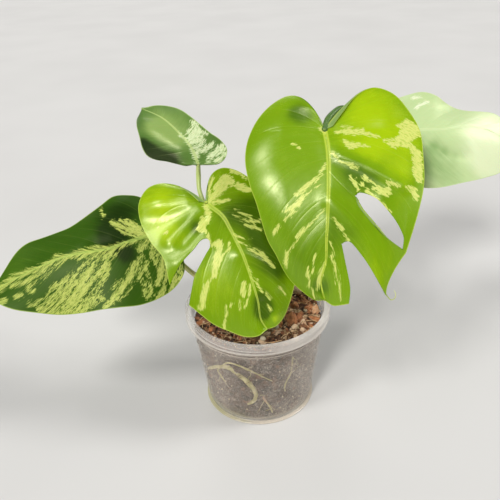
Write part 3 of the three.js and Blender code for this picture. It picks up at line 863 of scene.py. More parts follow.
@dataclass(frozen=True)
class ClearPlastic:
    """Thin clear polypropylene: milky at the edges, scuffed, with damp and a little algae low down, painted
    glints along its moulded edges and a painted sheen on its right side and rim.
    """

    name: str = "cup_plastic"
    milk: Colour = display(226, 213, 198)
    rim: Colour = display(242, 236, 228)
    algae: Colour = display(168, 168, 84)
    dust: Colour = display(204, 190, 168)
    rim_foot: Flat = (74.5, 76.6)
    scuff_grain: Point = (0.12, 0.12, 2.2)
    # Painted glints along the moulded edges and the foot: height, half width and strength
    painted_seam_glints: tuple[Point, ...] = (
        (70.6, 0.4, 0.4), (72.7, 0.35, 0.3), (68.7, 0.35, 0.22), (76.2, 0.5, 0.3), (1.2, 1.0, 0.55),
        (5.2, 0.6, 0.25),
    )

    def paint(self) -> bpy.types.Material:
        """Builds the cup's material.

        Returns:
            The material.
        """
        b = Bench(self.name)
        here = b.place()
        x, _, z = b.split(here)
        haze = b.cloud(here, 0.05, 3.0)
        specks = b.cloud(here, 1.15, 3.0, 0.6)
        crumbs = b.cloud(here, 0.45, 4.0, 0.7)
        scuffs = b.cloud(b.scaled(here, self.scuff_grain), 1.0, 3.0, 0.6)
        spray = b.cloud(here, 2.4, 2.0, 0.6)
        facing = b.add("ShaderNodeLayerWeight", inputs={"Blend": 0.25}, output=1)
        band = b.step(z, *self.rim_foot)
        low = b.step(z + haze * 12.0, 1.0, 16.0, 1.0, 0.0)
        # Colour: milk and dust, whiter at the rim, greenish low down on the left
        colour = b.mix(b.step(specks, 0.0, 0.2, 0.0, 0.7), self.milk, self.dust)
        colour = b.mix(band * 0.75, colour, self.rim)
        colour = b.mix(low * b.step(x + haze * 40.0, -34.0, -4.0, 0.55, 0.1), colour, self.algae)
        # Cover: how much of the clear wall is milky, from its haze, its rim, the damp on it, painted glints
        # along its moulded edges and a painted sheen on its right side
        painted_seam_glints = 0.0
        for level, reach, show in self.painted_seam_glints:
            painted_seam_glints = painted_seam_glints + b.step((z - level).size(), reach * 0.3, reach, show, 0.0)
        # Painted sheen of the light on the cup's right side: the wall grows milkier towards the right
        painted_right_sheen = b.step(x + haze * 30.0, 2.0, 44.0, 0.0, 0.1)
        dots = b.step(spray + specks * 0.5 + crumbs * 0.5 + haze * 0.15, 0.11, 0.16, 0.0, 0.5)
        dots = dots * b.step(z, 72.0, 74.0, 1.0, 0.2)
        # The rim band grows milkier towards the right: painted sheen of the light from that side
        cover = 0.03 + facing * 0.35 + band * b.step(x + haze * 24.0, -10.0, 48.0, 0.14, 0.34)
        cover = cover + haze * 0.14 + scuffs * 0.08 + dots + painted_right_sheen + low * 0.08 + painted_seam_glints
        rough = 0.2 + scuffs * 0.1 + specks * 0.12
        normal = b.bump(scuffs * 0.05 + haze * 0.5 + specks * 0.03, 0.6)
        shell = b.skin(Base_Color=colour, Roughness=rough, Normal=normal, Specular_IOR_Level=0.6,
                       Coat_Weight=0.3, Coat_Roughness=0.08)
        clear = b.add("ShaderNodeBsdfTransparent")
        return b.done(b.add("ShaderNodeMixShader", inputs={0: cover, 1: clear, 2: shell}))


@dataclass(frozen=True)
class FloorSkin:
    """A plain pale floor with the faintest unevenness."""

    name: str = "floor_skin"
    dull: Colour = display(206, 204, 200)
    pale: Colour = display(212, 210, 206)

    def paint(self) -> bpy.types.Material:
        """Builds the floor's material.

        Returns:
            The material.
        """
        b = Bench(self.name)
        drift = b.cloud(b.place(), 0.004, 2.0)
        colour = b.mix(b.step(drift, -0.3, 0.3), self.dull, self.pale)
        return b.done(b.skin(Base_Color=colour, Roughness=0.8))


# Blades


@dataclass(frozen=True)
class Split:
    """A cut that follows one rib from its blunt inner end to the margin."""

    half: Half
    rib: int
    inner: Flat
    inner_column: int
    above: tuple[Flat, ...]
    below: tuple[Flat, ...]
    closed: bool = False

    def edge(self, lip: Lip) -> Array:
        """One edge of the cut, from its inner end out."""
        return uniform([self.inner, *(self.above if lip is Lip.ABOVE else self.below)], 12)


@dataclass
class Blade:
    """One leaf, in millimetres along and across its midrib.

    joint, tip and face place it in the part's frame. columns, midrib, ribs and splits draw its outline.
    droop, soft, arch, lobe, ripple, quilt, roll, ridges and dimples shape its relief. veins, lean and sweep
    lead its side veins; marks colour it with cream, and the tone spots darken and lighten its green, partly
    as its own tone and partly as painted shade and painted highlights. Pairs are for the two halves.
    """

    name: str
    slot: Slot
    skin: LeafSkin
    joint: Point
    tip: Point
    face: Point
    droop: Flat
    soft: float
    arch: float
    lobe: float
    ripple: tuple[Point, Point]
    columns: int
    midrib: tuple[Flat, ...]
    ribs: tuple[Rib, ...]
    splits: tuple[Split, ...] = ()
    veins: tuple[float, ...] = ()
    marks: tuple[Stroke, ...] = ()
    tones_and_painted_light: tuple[Spot, ...] = ()
    ridges: tuple[Ridge, ...] = ()
    dimples: tuple[Spot, ...] = ()
    quilt: float = 0.15
    lean: Flat = (1.0, 1.0)
    sweep: float = 0.85
    roll: Flat = (0.0, 0.0)
    roll_start: float = 0.54
    rib_bow: float = 0.1
    joint_bow: float = 0.03
    cell: float = 0.9
    by_midrib: tuple[float, ...] = (0.3, 0.65, 1.1, 1.7, 2.4)
    by_margin: Flat = (0.22, 0.6)
    thickness: float = 0.8
    rib_ridge: float = 1.0
    rib_groove: float = 0.14
    vein_ridge: float = 0.3
    vein_groove: float = 0.03
    spine: Array = field(init=False)

    def __post_init__(self) -> None:
        """Works out the midrib's line."""
        self.spine = evenly(uniform(self.midrib), 241)

    def axes(self) -> tuple[Array, Array, Array, Array]:
        """Works out how the blade lies.

        Returns:
            The joint, and the directions along, across and out of the blade.
        """
        joint, tip = np.array(self.joint, float), np.array(self.tip, float)
        along = (tip - joint) / np.linalg.norm(tip - joint)
        face = np.array(self.face, float)
        face -= along * face.dot(along)
        face /= np.linalg.norm(face)
        return joint, along, np.cross(face, along), face

    def on_midrib(self, share: float) -> Array:
        """The midrib's place at a share of its length."""
        return evenly(self.spine, np.array([min(1.0, max(0.0, share))]))[0]

    def rib_line(self, half: Half, rib: int, split: Split | None, lip: Lip,
                 shares: Array) -> Array:
        """One rib from the midrib to the margin.

        Args:
            half: The side of the blade.
            rib: The rib's number.
            split: The cut that follows this rib, if any.
            lip: Which edge of the cut.
            shares: Shares of the way out at which places are wanted.

        Returns:
            Places along the rib.
        """
        share, *ends = self.ribs[rib]
        start, end = self.on_midrib(share), np.array(ends[half.value], float)
        if split is None:
            reach = end - start
            bow = self.rib_bow if share > 0 else self.joint_bow
            bow = bow * 4 * shares * (1 - shares) * (1 if half is Half.PLUS else -1)
            return start + reach * shares[:, None] + bow[:, None] * np.array([-reach[1], reach[0]])
        inner, edge = np.array(split.inner, float), split.edge(lip)
        last = self.columns - 1 if split.closed else self.columns
        line = []
        for column in shares * self.columns:
            out = (column - split.inner_column) / (last - split.inner_column)
            if column <= split.inner_column:
                line.append(start + (inner - start) * column / split.inner_column)
            elif column <= last:
                line.append(evenly(edge, np.array([out]))[0])
            else:
                line.append(edge[-1] + (end - edge[-1]) * (column - last))
        return np.array(line)

    def column_shares(self) -> Array:
        """Shares across a half, closer together at the midrib and at the margin.

        Returns:
            The shares, from 0 on the midrib to 1 on the margin.
        """
        reach = max(abs(ends[k][1]) for _, *ends in self.ribs for k in (0, 1))
        even = np.linspace(0, 1, int(reach / self.cell) + 1)
        close = np.array(self.by_midrib) / reach
        edge = 1 - np.array(self.by_margin) / reach
        kept = even[(even > close[-1] * 1.15) & (even < edge[1] - 0.3 / reach)]
        return np.concatenate([[0], close, kept, edge[::-1], [1]])

    def row_plan(self) -> list[int]:
        """Plans the rows, alike on both halves.

        Returns:
            How many rows each span between two ribs is cut into.
        """
        plan = []
        for (_, *low), (_, *high) in zip(self.ribs, self.ribs[1:]):
            span = max(math.dist(a, b) for a, b in zip(low, high))
            plan.append(max(3, math.ceil(span / self.cell)))
        return plan

    def height(self, x: Array, y: Array, row: Array, column: Array, half: Half,
               vein: Array) -> Array:
        """How far the middle surface stands out of the blade's plane.

        Args:
            x, y: Places along and across.
            row, column: Shares along the ribs' order and out along a rib.
            half: The side of the blade.
            vein: The lateral veins' running number.

        Returns:
            Millimetres out of the plane.
        """
        along = x / self.midrib[-1][0]
        fall = self.droop[half.value] * (np.hypot(y, self.soft) - self.soft)
        bow = 4 * self.arch * along * (1 - along) * np.where(along > 0, 1.0, self.lobe)
        size, waves, phase = self.ripple[half.value]
        ripple = size * column ** 2 * np.sin(FULL_TURN * (waves * row + phase))
        quilt = self.quilt * 4 * column * (1 - column) * (np.abs(np.sin(math.pi * vein)) - 0.6)
        folds = np.zeros(x.shape)
        for size, width, line in self.ridges:
            folds += size * np.exp(-((distance(x, y, line, 60.0) / width) ** 2))
        rolled = self.roll[half.value] * np.maximum(column - self.roll_start, 0) ** 2
        return bow - fall + ripple + quilt + folds - rolled + blobs(x, y, self.dimples)

    def build(self) -> bpy.types.Object:
        """Models the blade and ties it to its node.

        Returns:
            The blade's object.
        """
        sheet = Sheet()
        shares, plan = self.column_shares(), self.row_plan()
        for half in Half:
            cuts = [None, *(cut for cut in self.splits if cut.half is half), None]
            for opening, closing in zip(cuts, cuts[1:]):
                flat, index = self.stretch(half, opening, closing, shares, plan)
                self.lay_patch(sheet, half, flat, index, shares)
        sheet.merge(0.01)
        self.thicken(sheet)
        return sheet.piece(f"leaf_{self.name}", self.skin.paint(), self.slot, [f"blade_{self.name}"])

    def stretch(self, half: Half, opening: Split | None, closing: Split | None, shares: Array,
                plan: list[int]) -> tuple[Array, Array]:
        """Works out the rows of one stretch of a half, from one cut or end of the blade to the next.

        Args:
            half: The side of the blade.
            opening, closing: The cuts where the stretch starts and ends, if any.
            shares: Shares across the half.
            plan: Rows to each span between two ribs.

        Returns:
            Rows by columns of places on the blade, and each row's rib number.
        """
        rows = len(self.ribs) - 1
        first = opening.rib if opening else 0
        last = closing.rib if closing else rows
        cuts = {last: (closing, Lip.ABOVE), first: (opening, Lip.BELOW)}
        lines = [self.rib_line(half, rib, *cuts.get(rib, (None, Lip.ABOVE)), shares)
                 for rib in range(first, last + 1)]
        flat, index = [], []
        for i in range(len(lines)):
            four = [lines[min(max(k, 0), len(lines) - 1)] for k in range(i - 1, i + 3)]
            low, high = self.ribs[first + i][0], self.ribs[min(first + i + 1, rows)][0]
            steps = plan[first + i] if i + 1 < len(lines) else 1
            for f in (k / steps for k in range(steps)):
                places = catmull(*four, f)
                places[0] = self.on_midrib(low + (high - low) * f)
                flat.append(places)
                index.append(first + i + f)
        return np.array(flat), np.array(index)

    def lay_patch(self, sheet: Sheet, half: Half, flat: Array, index: Array,
                  shares: Array) -> None:
        """Lays one stretch of a half over its places, with the layers that its finish reads.

        Args:
            sheet: The mesh that it joins.
            half: The side of the blade.
            flat: Rows by columns of places on the blade.
            index: Each row's rib number.
            shares: Each column's share of the way out.
        """
        joint, along, across, face = self.axes()
        x, y = flat[..., 0], flat[..., 1]
        rows, column = np.meshgrid(index, shares, indexing="ij")
        rising = rows - self.lean[half.value] * column ** self.sweep * np.clip(rows / 4, 0, 1)
        vein = np.interp(rising, self.veins, np.arange(len(self.veins)))
        h = self.height(x, y, rows / (len(self.ribs) - 1), column, half, vein)
        places = joint + x[..., None] * along + y[..., None] * across + h[..., None] * face
        steps = np.hypot(np.diff(x, axis=1), np.diff(y, axis=1))
        run = np.pad(np.cumsum(steps, axis=1), ((0, 0), (1, 0)))
        gap = self.vein_gap(x, y, vein)
        midrib = distance(x, y, self.spine[::6], 90.0)
        share = np.clip(x / self.midrib[-1][0], 0, 1)
        side = np.full(x.shape, 9.0 if half is Half.PLUS else -9.0)
        # The tone spots: partly the leaf's own tone, partly painted shade and painted highlights
        drawn, tone_and_painted_light = nearness(x, y, self.marks), blobs(x, y, self.tones_and_painted_light)
        layers = {
            "flow": (vein * 13.0, run, side),
            "lines": (vein, gap, run[:, -1:] - run),
            "marks": (drawn, tone_and_painted_light, midrib / (1 - 0.74 * share)),
            "spine": (midrib, share, ((vein + 0.5) % 1 - 0.5) * gap),
        }
        stacked = {name: np.stack(values, axis=-1) for name, values in layers.items()}
        sheet.lay(places, stacked, flip=half is Half.PLUS)

    @staticmethod
    def vein_gap(x: Array, y: Array, vein: Array) -> Array:
        """How far apart two veins lie.

        Args:
            x, y: The places, rows by columns.
            vein: The veins' running number there.

        Returns:
            Millimetres from one vein to the next at each place.
        """
        (xi, xj), (yi, yj), (vi, vj) = np.gradient(x), np.gradient(y), np.gradient(vein)
        area = np.maximum(np.abs(xi * yj - xj * yi), 1e-6)
        slope = np.hypot(vi * yj - vj * yi, vj * xi - vi * xj)
        return np.clip(area / np.maximum(slope, 1e-6), 1.0, 30.0)

    def thicken(self, sheet: Sheet) -> None:
        """Gives the sheet its thickness: grooves along the midrib and the veins above, ridges below.

        Args:
            sheet: The middle surface, which becomes a closed shell.
        """
        bm = sheet.bm
        bm.normal_update()
        under = sheet.layer("under")
        spine, lines = (bm.verts.layers.float_vector[name] for name in ("spine", "lines"))
        lower, faces = list(bm.verts), list(bm.faces)
        directions = [vert.normal.copy() for vert in lower]
        made = bmesh.ops.extrude_face_region(bm, geom=faces, use_keep_orig=True)["geom"]
        upper = [item for item in made if isinstance(item, bmesh.types.BMVert)]
        pairs = {tuple(round(v, 4) for v in vert.co): vert for vert in upper}
        for vert, direction in zip(lower, directions):
            far, along, off = vert[spine]
            taper = 1 - 0.75 * along
            rib = taper * math.exp(-((far / (0.8 + 1.0 * taper)) ** 2))
            side = math.exp(-((off / 0.7) ** 2)) * min(1.0, vert[lines][2] / 14) * min(1.0, far / 3)
            twin = pairs.get(tuple(round(v, 4) for v in vert.co))
            if twin is not None:
                twin.co += direction * (self.thickness / 2 - self.rib_groove * rib - self.vein_groove * side)
                twin[under] = 0.0
            vert.co -= direction * (self.thickness / 2 + self.rib_ridge * rib + self.vein_ridge * side)
            vert[under] = 1.0
        bmesh.ops.reverse_faces(bm, faces=[face for face in faces if face.is_valid])
        bm.verts.layers.float_vector.remove(spine)
        sheet.outward()


def newest_leaf() -> Blade:
    """The newest and largest leaf, facing the front, with one hole and one open split."""
    return Blade(
        name="newest",
        slot=Slot.LIME,
        skin=LeafSkin("leaf_newest", bright=display(160, 190, 0), middle=display(114, 152, 0),
                      deep=display(72, 108, 2), rib=display(190, 206, 70), rib_width=2.2),
        joint=(48.7, 12, 213), tip=(46, -40, 110.5), face=(-0.15, -0.86, 0.45),
        droop=(0.1, -0.06), soft=6, arch=9, lobe=0.6, ripple=((2.5, 2.5, 0.1), (2, 2, 0.3)), columns=8,
        quilt=0.05,
        midrib=((0, 0), (14, 2.5), (34, 3), (55, 2.5), (74, 1.5), (88, 1), (102, -2.5), (115, 0)),
        ribs=(
            (0, (-2.5, 5.5), (-5.5, -2.5)), (0, (-12.5, 12.5), (-17.5, -9)), (0, (-24, 21.5), (-25, -17.5)),
            (0, (-29.5, 33), (-26, -27)), (0, (-25, 46), (-19.5, -38)), (0, (-13.5, 55.5), (-8.5, -47)),
            (0.04, (2, 63), (5.5, -52.5)), (0.1, (21.5, 64.5), (20.5, -53.5)),
            (0.16, (38, 64.5), (36.5, -50)), (0.21, (56, 61), (49, -45.5)),
            (0.25, (82.5, 53.5), (60, -42.5)), (0.34, (91, 48), (73.5, -38.5)),
            (0.42, (99.5, 43.5), (84, -33)), (0.5, (106, 41), (94.5, -28)),
            (0.57, (111, 40.5), (102.5, -22.5)), (0.72, (118, 11), (109.5, -15)),
            (0.86, (118.5, 5.5), (115, -7)), (1, (115, 0), (115, 0)),
        ),
        splits=(
            Split(Half.PLUS, 10, (45, 20.5), 3,
                  ((43, 21.5), (43, 26), (46, 33), (51, 38.5), (62, 47), (73, 52), (80.5, 51.5)),
                  ((51, 22), (58, 27), (65, 33), (72, 40), (80.5, 51.5)), closed=True),
            Split(Half.PLUS, 14, (76.5, 11.5), 2,
                  ((75, 14), (75.5, 17.5), (82, 23), (89, 28), (96.5, 32.5), (103.5, 36.5), (111, 40.5)),
                  ((79, 12), (87, 13.5), (99.5, 16), (108, 17), (117, 16))),
        ),
        veins=(0, 1.6, 3.2, 5, 6.6, 8.2, 10, 11.5, 13, 14, 15.5, 17),
        roll=(0, 24),
        ridges=(
            (1.8, 4.5, ((17, 11), (24, 26), (38, 51))), (1.4, 6, ((48, 4), (63, 18), (83, 33), (104, 37))),
            (-0.9, 4, ((2, 7), (0, 27), (-1, 47))), (0.4, 5, ((-1, -27), (0, -14), (0, -5))),
            (-0.3, 5, ((15, -7), (17, -14), (21, -27))), (-0.3, 5, ((54, -2), (68, -12), (83, -25))),
            (0.6, 5, ((88, 7), (98, 8), (110, 9))),
        ),
        dimples=((-12, -20, 9, -0.6), (-17, -9, 6, 0.4), (-8, 42, 9, 1.5), (106, -3, 6, -1.6),
                 (47, 38, 7, 1.0)),
        # Tone spots: painted highlights on the right lobe above its ridge; painted shade below that ridge, by
        # the left basal fold and in the tip's dimple; some of the leaf's own tone
        tones_and_painted_light=(
            (0, 25, 22, 0.55), (8, 50, 18, 0.55), (-18, 30, 16, 0.5), (32, 20, 12, -0.5),
            (60, -20, 26, -0.3), (-13, -19, 8, -1.2), (-8, -12, 6, -0.4), (90, -12, 18, -0.3),
            (92, 36, 14, 0.3), (-15, -22, 14, 0.35), (45, 48, 9, 0.3), (70, 12, 14, -0.4),
            (106, -3, 6, -0.9), (20, 9, 6, -0.5), (27, 19, 6, -0.6), (34, 30, 7, -0.6), (42, 41, 7, -0.5),
            (14, 30, 10, 0.4), (28, 50, 9, 0.4),
        ),
        marks=(
            ((-1, -2, 1.2), (1, 0, 1.6)), ((1, 6, .8), (1, 14, 1), (1, 25, 1.2)),
            ((2, 14, 1.2), (3, 25, 1.4), (5, 36, .6)), ((-2, 12, .7), (-2, 18, .5)),
            ((8, 13, .8), (11, 17, 2.2), (11, 23, 1.6), (12, 30, .6)),
            ((-2, 49, 1.2), (-3, 55, 3.5), (2, 60, 4)), ((3, 51, 2.5), (4, 56, 4.5)),
            ((8, 39, .6), (7, 46, 1.2), (8, 52, 4)), ((10, 42, 1.2), (11, 48, 2), (11, 55, 2)),
            ((12, 56, 1.5), (18, 60, 3.2), (27, 61, 3), (35, 61, 2)), ((25, 58, 1), (31, 60, 1.5)),
            ((39, 53, 1.2), (42, 58, 2.4), (47, 60, 1.6)), ((15, 5, .5), (21, 10, .8), (25, 17, .7)),
            ((25, 18, 1), (27, 22, .8)), ((31, 17, 1), (35, 20, 1.3), (41, 22, .8)),
            ((32, 26, 1), (37, 33, .5)), ((37, 24, .8), (40, 28, .8)), ((40, 32, 1.4), (42, 42, 1.6)),
            ((36, 42, 1.8), (38, 48, 1.6)), ((42, 35, 1), (45, 41, .8)),
            ((41, 27, .8), (46, 33, 1), (51, 39, .8), (56, 44, .5)),
            ((24, 1, .6), (31, -4, .9), (36, -9, 1.6)), ((36, -9, 1.8), (40, -14, 1.8), (44, -18, 1.3)),
            ((44, -14, 1), (50, -18, 1.8), (52, -22, 1.6), (55, -27, .9)), ((54, -20, .9), (60, -26, .7)),
            ((36, -2, .4), (41, -8, .6), (45, -13, .4)), ((30, -1, .4), (37, -7, .5)),
            ((9, -21, .6), (12, -17, .6)), ((64, -30, .7), (69, -34, .9)),
            ((54, 0, .3), (64, -10, .5), (68, -14, .6)), ((66, -13, 1.1), (72, -18, 1.5)),
            ((74, -18, .3), (83, -25, .4)), ((82, -25, 1.2), (87, -26, 1.3), (93, -26, .4)),
            ((83, -6, .5), (89, -7, .6), (96, -8, .8)), ((92, -11, .8), (98, -12, .8)),
            ((98, -10, .5), (105, -11, .5)), ((106, -9, .7), (113, -7, .7)),
            ((89, 0, .6), (97, -3, 1.5), (107, -5, .7)),
            ((75, 4, .5), (86, 6, 1.1), (96, 8, 1), (106, 10, .7), (114, 11, .5)),
            ((59, 6, .6), (67, 12, .8)), ((69, 13, .4), (74, 16, .5)),
        ),
    )


def centre_leaf() -> Blade:
    """The middle leaf, cupped and turned to the front, with one open split."""
    return Blade(
        name="centre",
        slot=Slot.LIME,
        skin=LeafSkin("leaf_centre", bright=display(166, 194, 2), middle=display(112, 148, 0),
                      deep=display(62, 92, 2), rib=display(190, 208, 84), rib_width=2.0),
        joint=(-33.5, 0, 167), tip=(6, -44, 91), face=(0.08, -0.8, 0.55),
        droop=(0.18, 0.15), soft=6, arch=6, lobe=0.6, ripple=((2, 2, 0), (2, 2, 0.2)), columns=7, quilt=0.05,
        midrib=((0, 0), (12, 6), (23.5, 7), (37, 7), (48, 6.5), (60, 5), (76, 2.5), (88, -1), (96.5, 0)),
        ribs=(
            (0, (-4, 3), (-3.5, -4)), (0, (-11, 6.5), (-11, -7)), (0, (-17.5, 13), (-20.5, -12.5)),
            (0, (-19, 21), (-27.5, -21.5)), (0, (-14.5, 29), (-28.5, -32.5)), (0, (-6, 35.5), (-21, -42)),
            (0.03, (6, 41), (-8, -46.5)), (0.07, (21, 44.5), (7.5, -46)), (0.11, (35, 45.5), (22, -43)),
            (0.15, (48, 43.5), (40, -47)), (0.32, (61.5, 40), (65.5, -37.5)),
            (0.48, (72.5, 34.5), (77.5, -31.5)), (0.64, (82.5, 27), (87, -23.5)),
            (0.8, (93, 16.5), (94.5, -16)), (0.92, (97.5, 7.5), (98, -7.5)), (1, (96.5, 0), (96.5, 0)),
        ),
        splits=(
            Split(Half.MINUS, 9, (25, -9.5), 2,
                  ((22.5, -10.5), (22, -15), (25, -21), (31, -35), (40, -47)),
                  ((28.5, -11), (32, -16), (41, -28), (49, -34.5), (58, -41))),
        ),
        veins=(0, 1.8, 3.6, 5.4, 7, 8.2, 9, 10, 11, 12, 13, 14, 15),
        lean=(1.2, 1.2),
        ridges=(
            (2.8, 8, ((-9, -12), (-14, -26), (-18, -40))), (2.0, 5.5, ((3, -6), (7, -17), (13, -34))),
            (-1.2, 4.5, ((9, -7), (13, -15), (18, -26))), (2.6, 8, ((19, -11), (24, -22), (29, -35))),
            (1.6, 4.5, ((42, 5), (51, 13), (61, 21), (72, 20))), (-1.2, 4, ((79, 5), (94, 1))),
            (0.8, 5, ((13, 13), (24, 20), (35, 26))),
        ),
        dimples=((-18, -30, 9, 1.5), (94, -7, 6, 1.0), (90, 10, 6, 1.2)),
        # Tone spots: painted highlights on the left lobe and beside the crease near the tip; the newest
        # leaf's painted shadow over the right half; painted shade in that crease and in the valley on the
        # left lobe; some of the leaf's own tone
        tones_and_painted_light=(
            (-12, -28, 16, 0.7), (5, -36, 12, 0.5), (-8, 18, 14, 0.2), (20, 30, 16, -0.8),
            (35, 30, 14, -0.8), (14, 12, 10, -0.6), (12, -13, 6, -0.9), (60, -20, 16, 0.2),
            (80, -5, 12, 0.1), (45, -20, 10, 0.25), (84, 3, 7, -1.5), (76, 5, 6, -0.9), (92, 8, 4, 0.8),
            (52, 25, 11, -0.9), (64, 25, 9, -0.6), (40, 24, 8, -0.4),
        ),
        marks=(
            ((0, 2, 1.5), (-3, 8, 2.5), (-6, 15, 4)), ((-6, 11, 3), (-10, 19, 4), (-7, 23, 3)),
            ((1, 3, 1.2), (2, 8, 1.8), (4, 15, .8)), ((-3, 26, 2.5), (1, 29, 3), (4, 33, 2)),
            ((-15, 27, 1), (-11, 31, 1.2), (-5, 34, 1.2)), ((-3, 4, 1), (-9, 7, 1.4), (-15, 12, 1)),
            ((2, -1, 2), (8, -2, 2), (12, -6, 2)), ((10, -7, 2.5), (14, -11, 2.5), (19, -9, 1.5)),
            ((21, -9, 1.2), (26, -10, 1)), ((28, -9, 1), (29, -4, 3), (32, -5, 2)),
            ((33, -6, 1.6), (38, -9, 2.6), (43, -14, 2.2), (48, -17, 1)), ((36, -12, .8), (36, -8, 1.4)),
            ((32, 2, .8), (36, 0, .9), (38, -7, .8)),
            ((48, -20, .4), (52, -25, 1.6), (57, -30, 2.2), (64, -34, 1)), ((58, -33, .5), (63, -36, .5)),
            ((61, -1, 1.2), (68, -5, 1.2)), ((64, 2, .8), (69, -1, .9)), ((73, -4, .6), (76, -7, .6)),
            ((70, -8, .4), (76, -11, .4)), ((70, -18, .6), (76, -21, .9)), ((78, -23, .6), (83, -26, .6)),
            ((70, -14, .5), (71, -16, .5)), ((42, 13, 1.4), (50, 19, 1.8), (60, 23, .8)),
            ((41, 12, .6), (44, 17, .5)), ((27, 7, .5), (33, 12, .7)), ((33, 8, .6), (39, 12, .6)),
            ((35, 16, .5), (36, 18, .5)), ((15, 13, .5), (24, 20, .8), (27, 28, .7)),
            ((13, 16, .4), (22, 23, .8), (32, 24, .7)), ((25, 18, .4), (33, 26, .8)),
            ((65, 7, .6), (72, 8, .8)), ((74, 10, .6), (79, 10, .8)), ((82, 8, .5), (86, 8, .6)),
            ((74, 21, .6), (80, 22, .7)), ((53, 6, .6), (57, 7, .5)), ((59, 5, .7), (63, 8, .7)),
            ((-1, -38, .5), (0, -37, .5)), ((-3, -34, .4), (-1, -29, .5)), ((6, -36, .4), (6, -32, .5)),
        ),
    )


def left_leaf() -> Blade:
    """The long low leaf on the left, dark green with a dense cream marbling."""
    return Blade(
        name="left",
        slot=Slot.DARK,
        skin=LeafSkin("leaf_left", bright=display(80, 116, 20), middle=display(50, 84, 12),
                      deep=display(24, 46, 6), cream=display(184, 192, 98), faint=display(128, 152, 54),
                      rib=display(176, 200, 96), back=display(112, 142, 84), ragged=1.9, heart=0.4,
                      halo=0.3, vein_show=0.05, rib_show=0.6, tear=(2.0, 0.5), grain=0.03, shine=0.36,
                      gloss=0.15),
        joint=(-71, 8, 141), tip=(-195.5, -14, 105.5), face=(-0.1, -0.7, 0.7),
        droop=(0.3, 0.3), soft=8, arch=8, lobe=0.6, ripple=((2, 2.5, 0), (2, 2.5, 0.2)), columns=5,
        midrib=((0, 0), (22, 0), (37, 0.5), (63, -4), (89, -4), (120, -2), (131, 0)),
        ribs=(
            (0, (-2.5, 4.5), (-3, -3.5)), (0, (-8.5, 12.5), (-4.5, -15)), (0, (-11, 23.5), (-0.5, -28)),
            (0, (-8, 32.5), (6.5, -37)), (0, (2, 40), (15, -41)), (0.05, (14, 44), (24.5, -42)),
            (0.13, (28.5, 45), (35, -36.5)), (0.22, (41.5, 42.5), (47, -32)),
            (0.33, (54.5, 39.5), (60, -28.5)), (0.45, (69, 36.5), (72, -28)),
            (0.57, (84.5, 32), (83, -27.5)), (0.69, (100, 25), (94, -27)),
            (0.81, (114.5, 17.5), (104, -22.5)), (0.92, (125, 8.5), (116, -12.5)), (1, (131, 0), (131, 0)),
        ),
        veins=(0, 1.8, 3.4, 5, 6.2, 7.2, 8.2, 9.2, 10.2, 11.2, 12.4, 14),
        quilt=0.08,
        lean=(3.0, 2.0),
        sweep=0.65,
        ridges=(
            (-1.5, 5, ((45, -6), (32, -4), (18, -8))), (0.8, 6, ((87, -4), (63, -9), (38, -21), (20, -33))),
        ),
        dimples=((12, 38, 9, 1.2),),
        # Tone spots: painted shade on its far half and in the valley by the midrib near the joint; some of
        # the leaf's own tone
        tones_and_painted_light=(
            (30, -22, 18, -0.35), (70, -18, 22, 0.1), (110, -12, 18, 0.35), (18, -25, 14, -0.5),
            (60, 20, 30, -0.2), (32, -5, 10, -0.9), (25, 8, 7, -1.0), (30, -14, 9, -0.7),
        ),
        marks=(
            ((0, 0, 3), (8, 3, 5), (15, 7, 3)), ((7, 6, 4), (6, 15, 4), (6, 23, 3)),
            ((6, 20, 3), (5, 29, 3), (11, 35, 2)),
            ((6, 2, 2), (15, -5, 3.5), (22, -10, 2.5), (29, -20, 1.5)),
            ((11, -8, 1.5), (17, -15, 2), (23, -20, 1)),
            ((17, 1, 1.2), (29, 1, 2), (40, 1, 3), (49, -1, 3.5)),
            ((35, 5, 2.5), (45, 4, 4), (54, -1, 3), (62, -3, 2)),
            ((45, -2, 3), (56, -4, 2), (72, -3, 2.5), (83, -4, 2)), ((64, -3, 1), (74, -8, 1)),
            ((72, -1, 1.5), (84, -2, 2), (96, -4, 2), (111, -4, 2.5), (120, -1, 3)),
            ((75, 0, 1), (88, 1, 1.2), (99, 2, 1.5), (111, 1, 1.5)), ((80, 2, .8), (91, 5, 1), (99, 7, 1)),
            ((50, 6, 4), (61, 12, 5), (73, 16, 5), (87, 19, 3)),
            ((46, 8, 4), (53, 15, 5), (65, 21, 6), (80, 25, 5), (96, 22, 3)),
            ((42, 9, 4), (44, 16, 3), (52, 23, 4), (60, 30, 4), (72, 33, 4)),
            ((80, 14, 3), (90, 20, 2.5), (102, 19, 2)),
            ((57, 34, 2), (70, 35, 2), (84, 31, 2), (97, 24, 2)),
            ((22, 16, 1), (28, 23, 2.5), (32, 31, 2.5), (40, 36, 2)),
            ((17, 14, 1.5), (22, 23, 2), (21, 32, 1.6), (22, 40, 1.6)),
            ((15, 13, 1.5), (16, 23, 1.5), (17, 33, 1.2), (20, 40, 1.4)),
            ((35, 26, 2), (41, 31, 2.5), (45, 37, 2)), ((52, 32, 1.6), (49, 37, 1.4), (52, 38, 1.4)),
            ((-9, 29, 3), (-2, 36, 3.5), (8, 41, 3), (19, 43, 1.5)), ((35, -33, .8), (34, -27, .8)),
            ((100, 9, 1.2), (96, 10, .8)), ((110, 10, 1), (105, 10, .8)), ((123, 10, 2), (119, 9, 1.5)),
        ),
    )


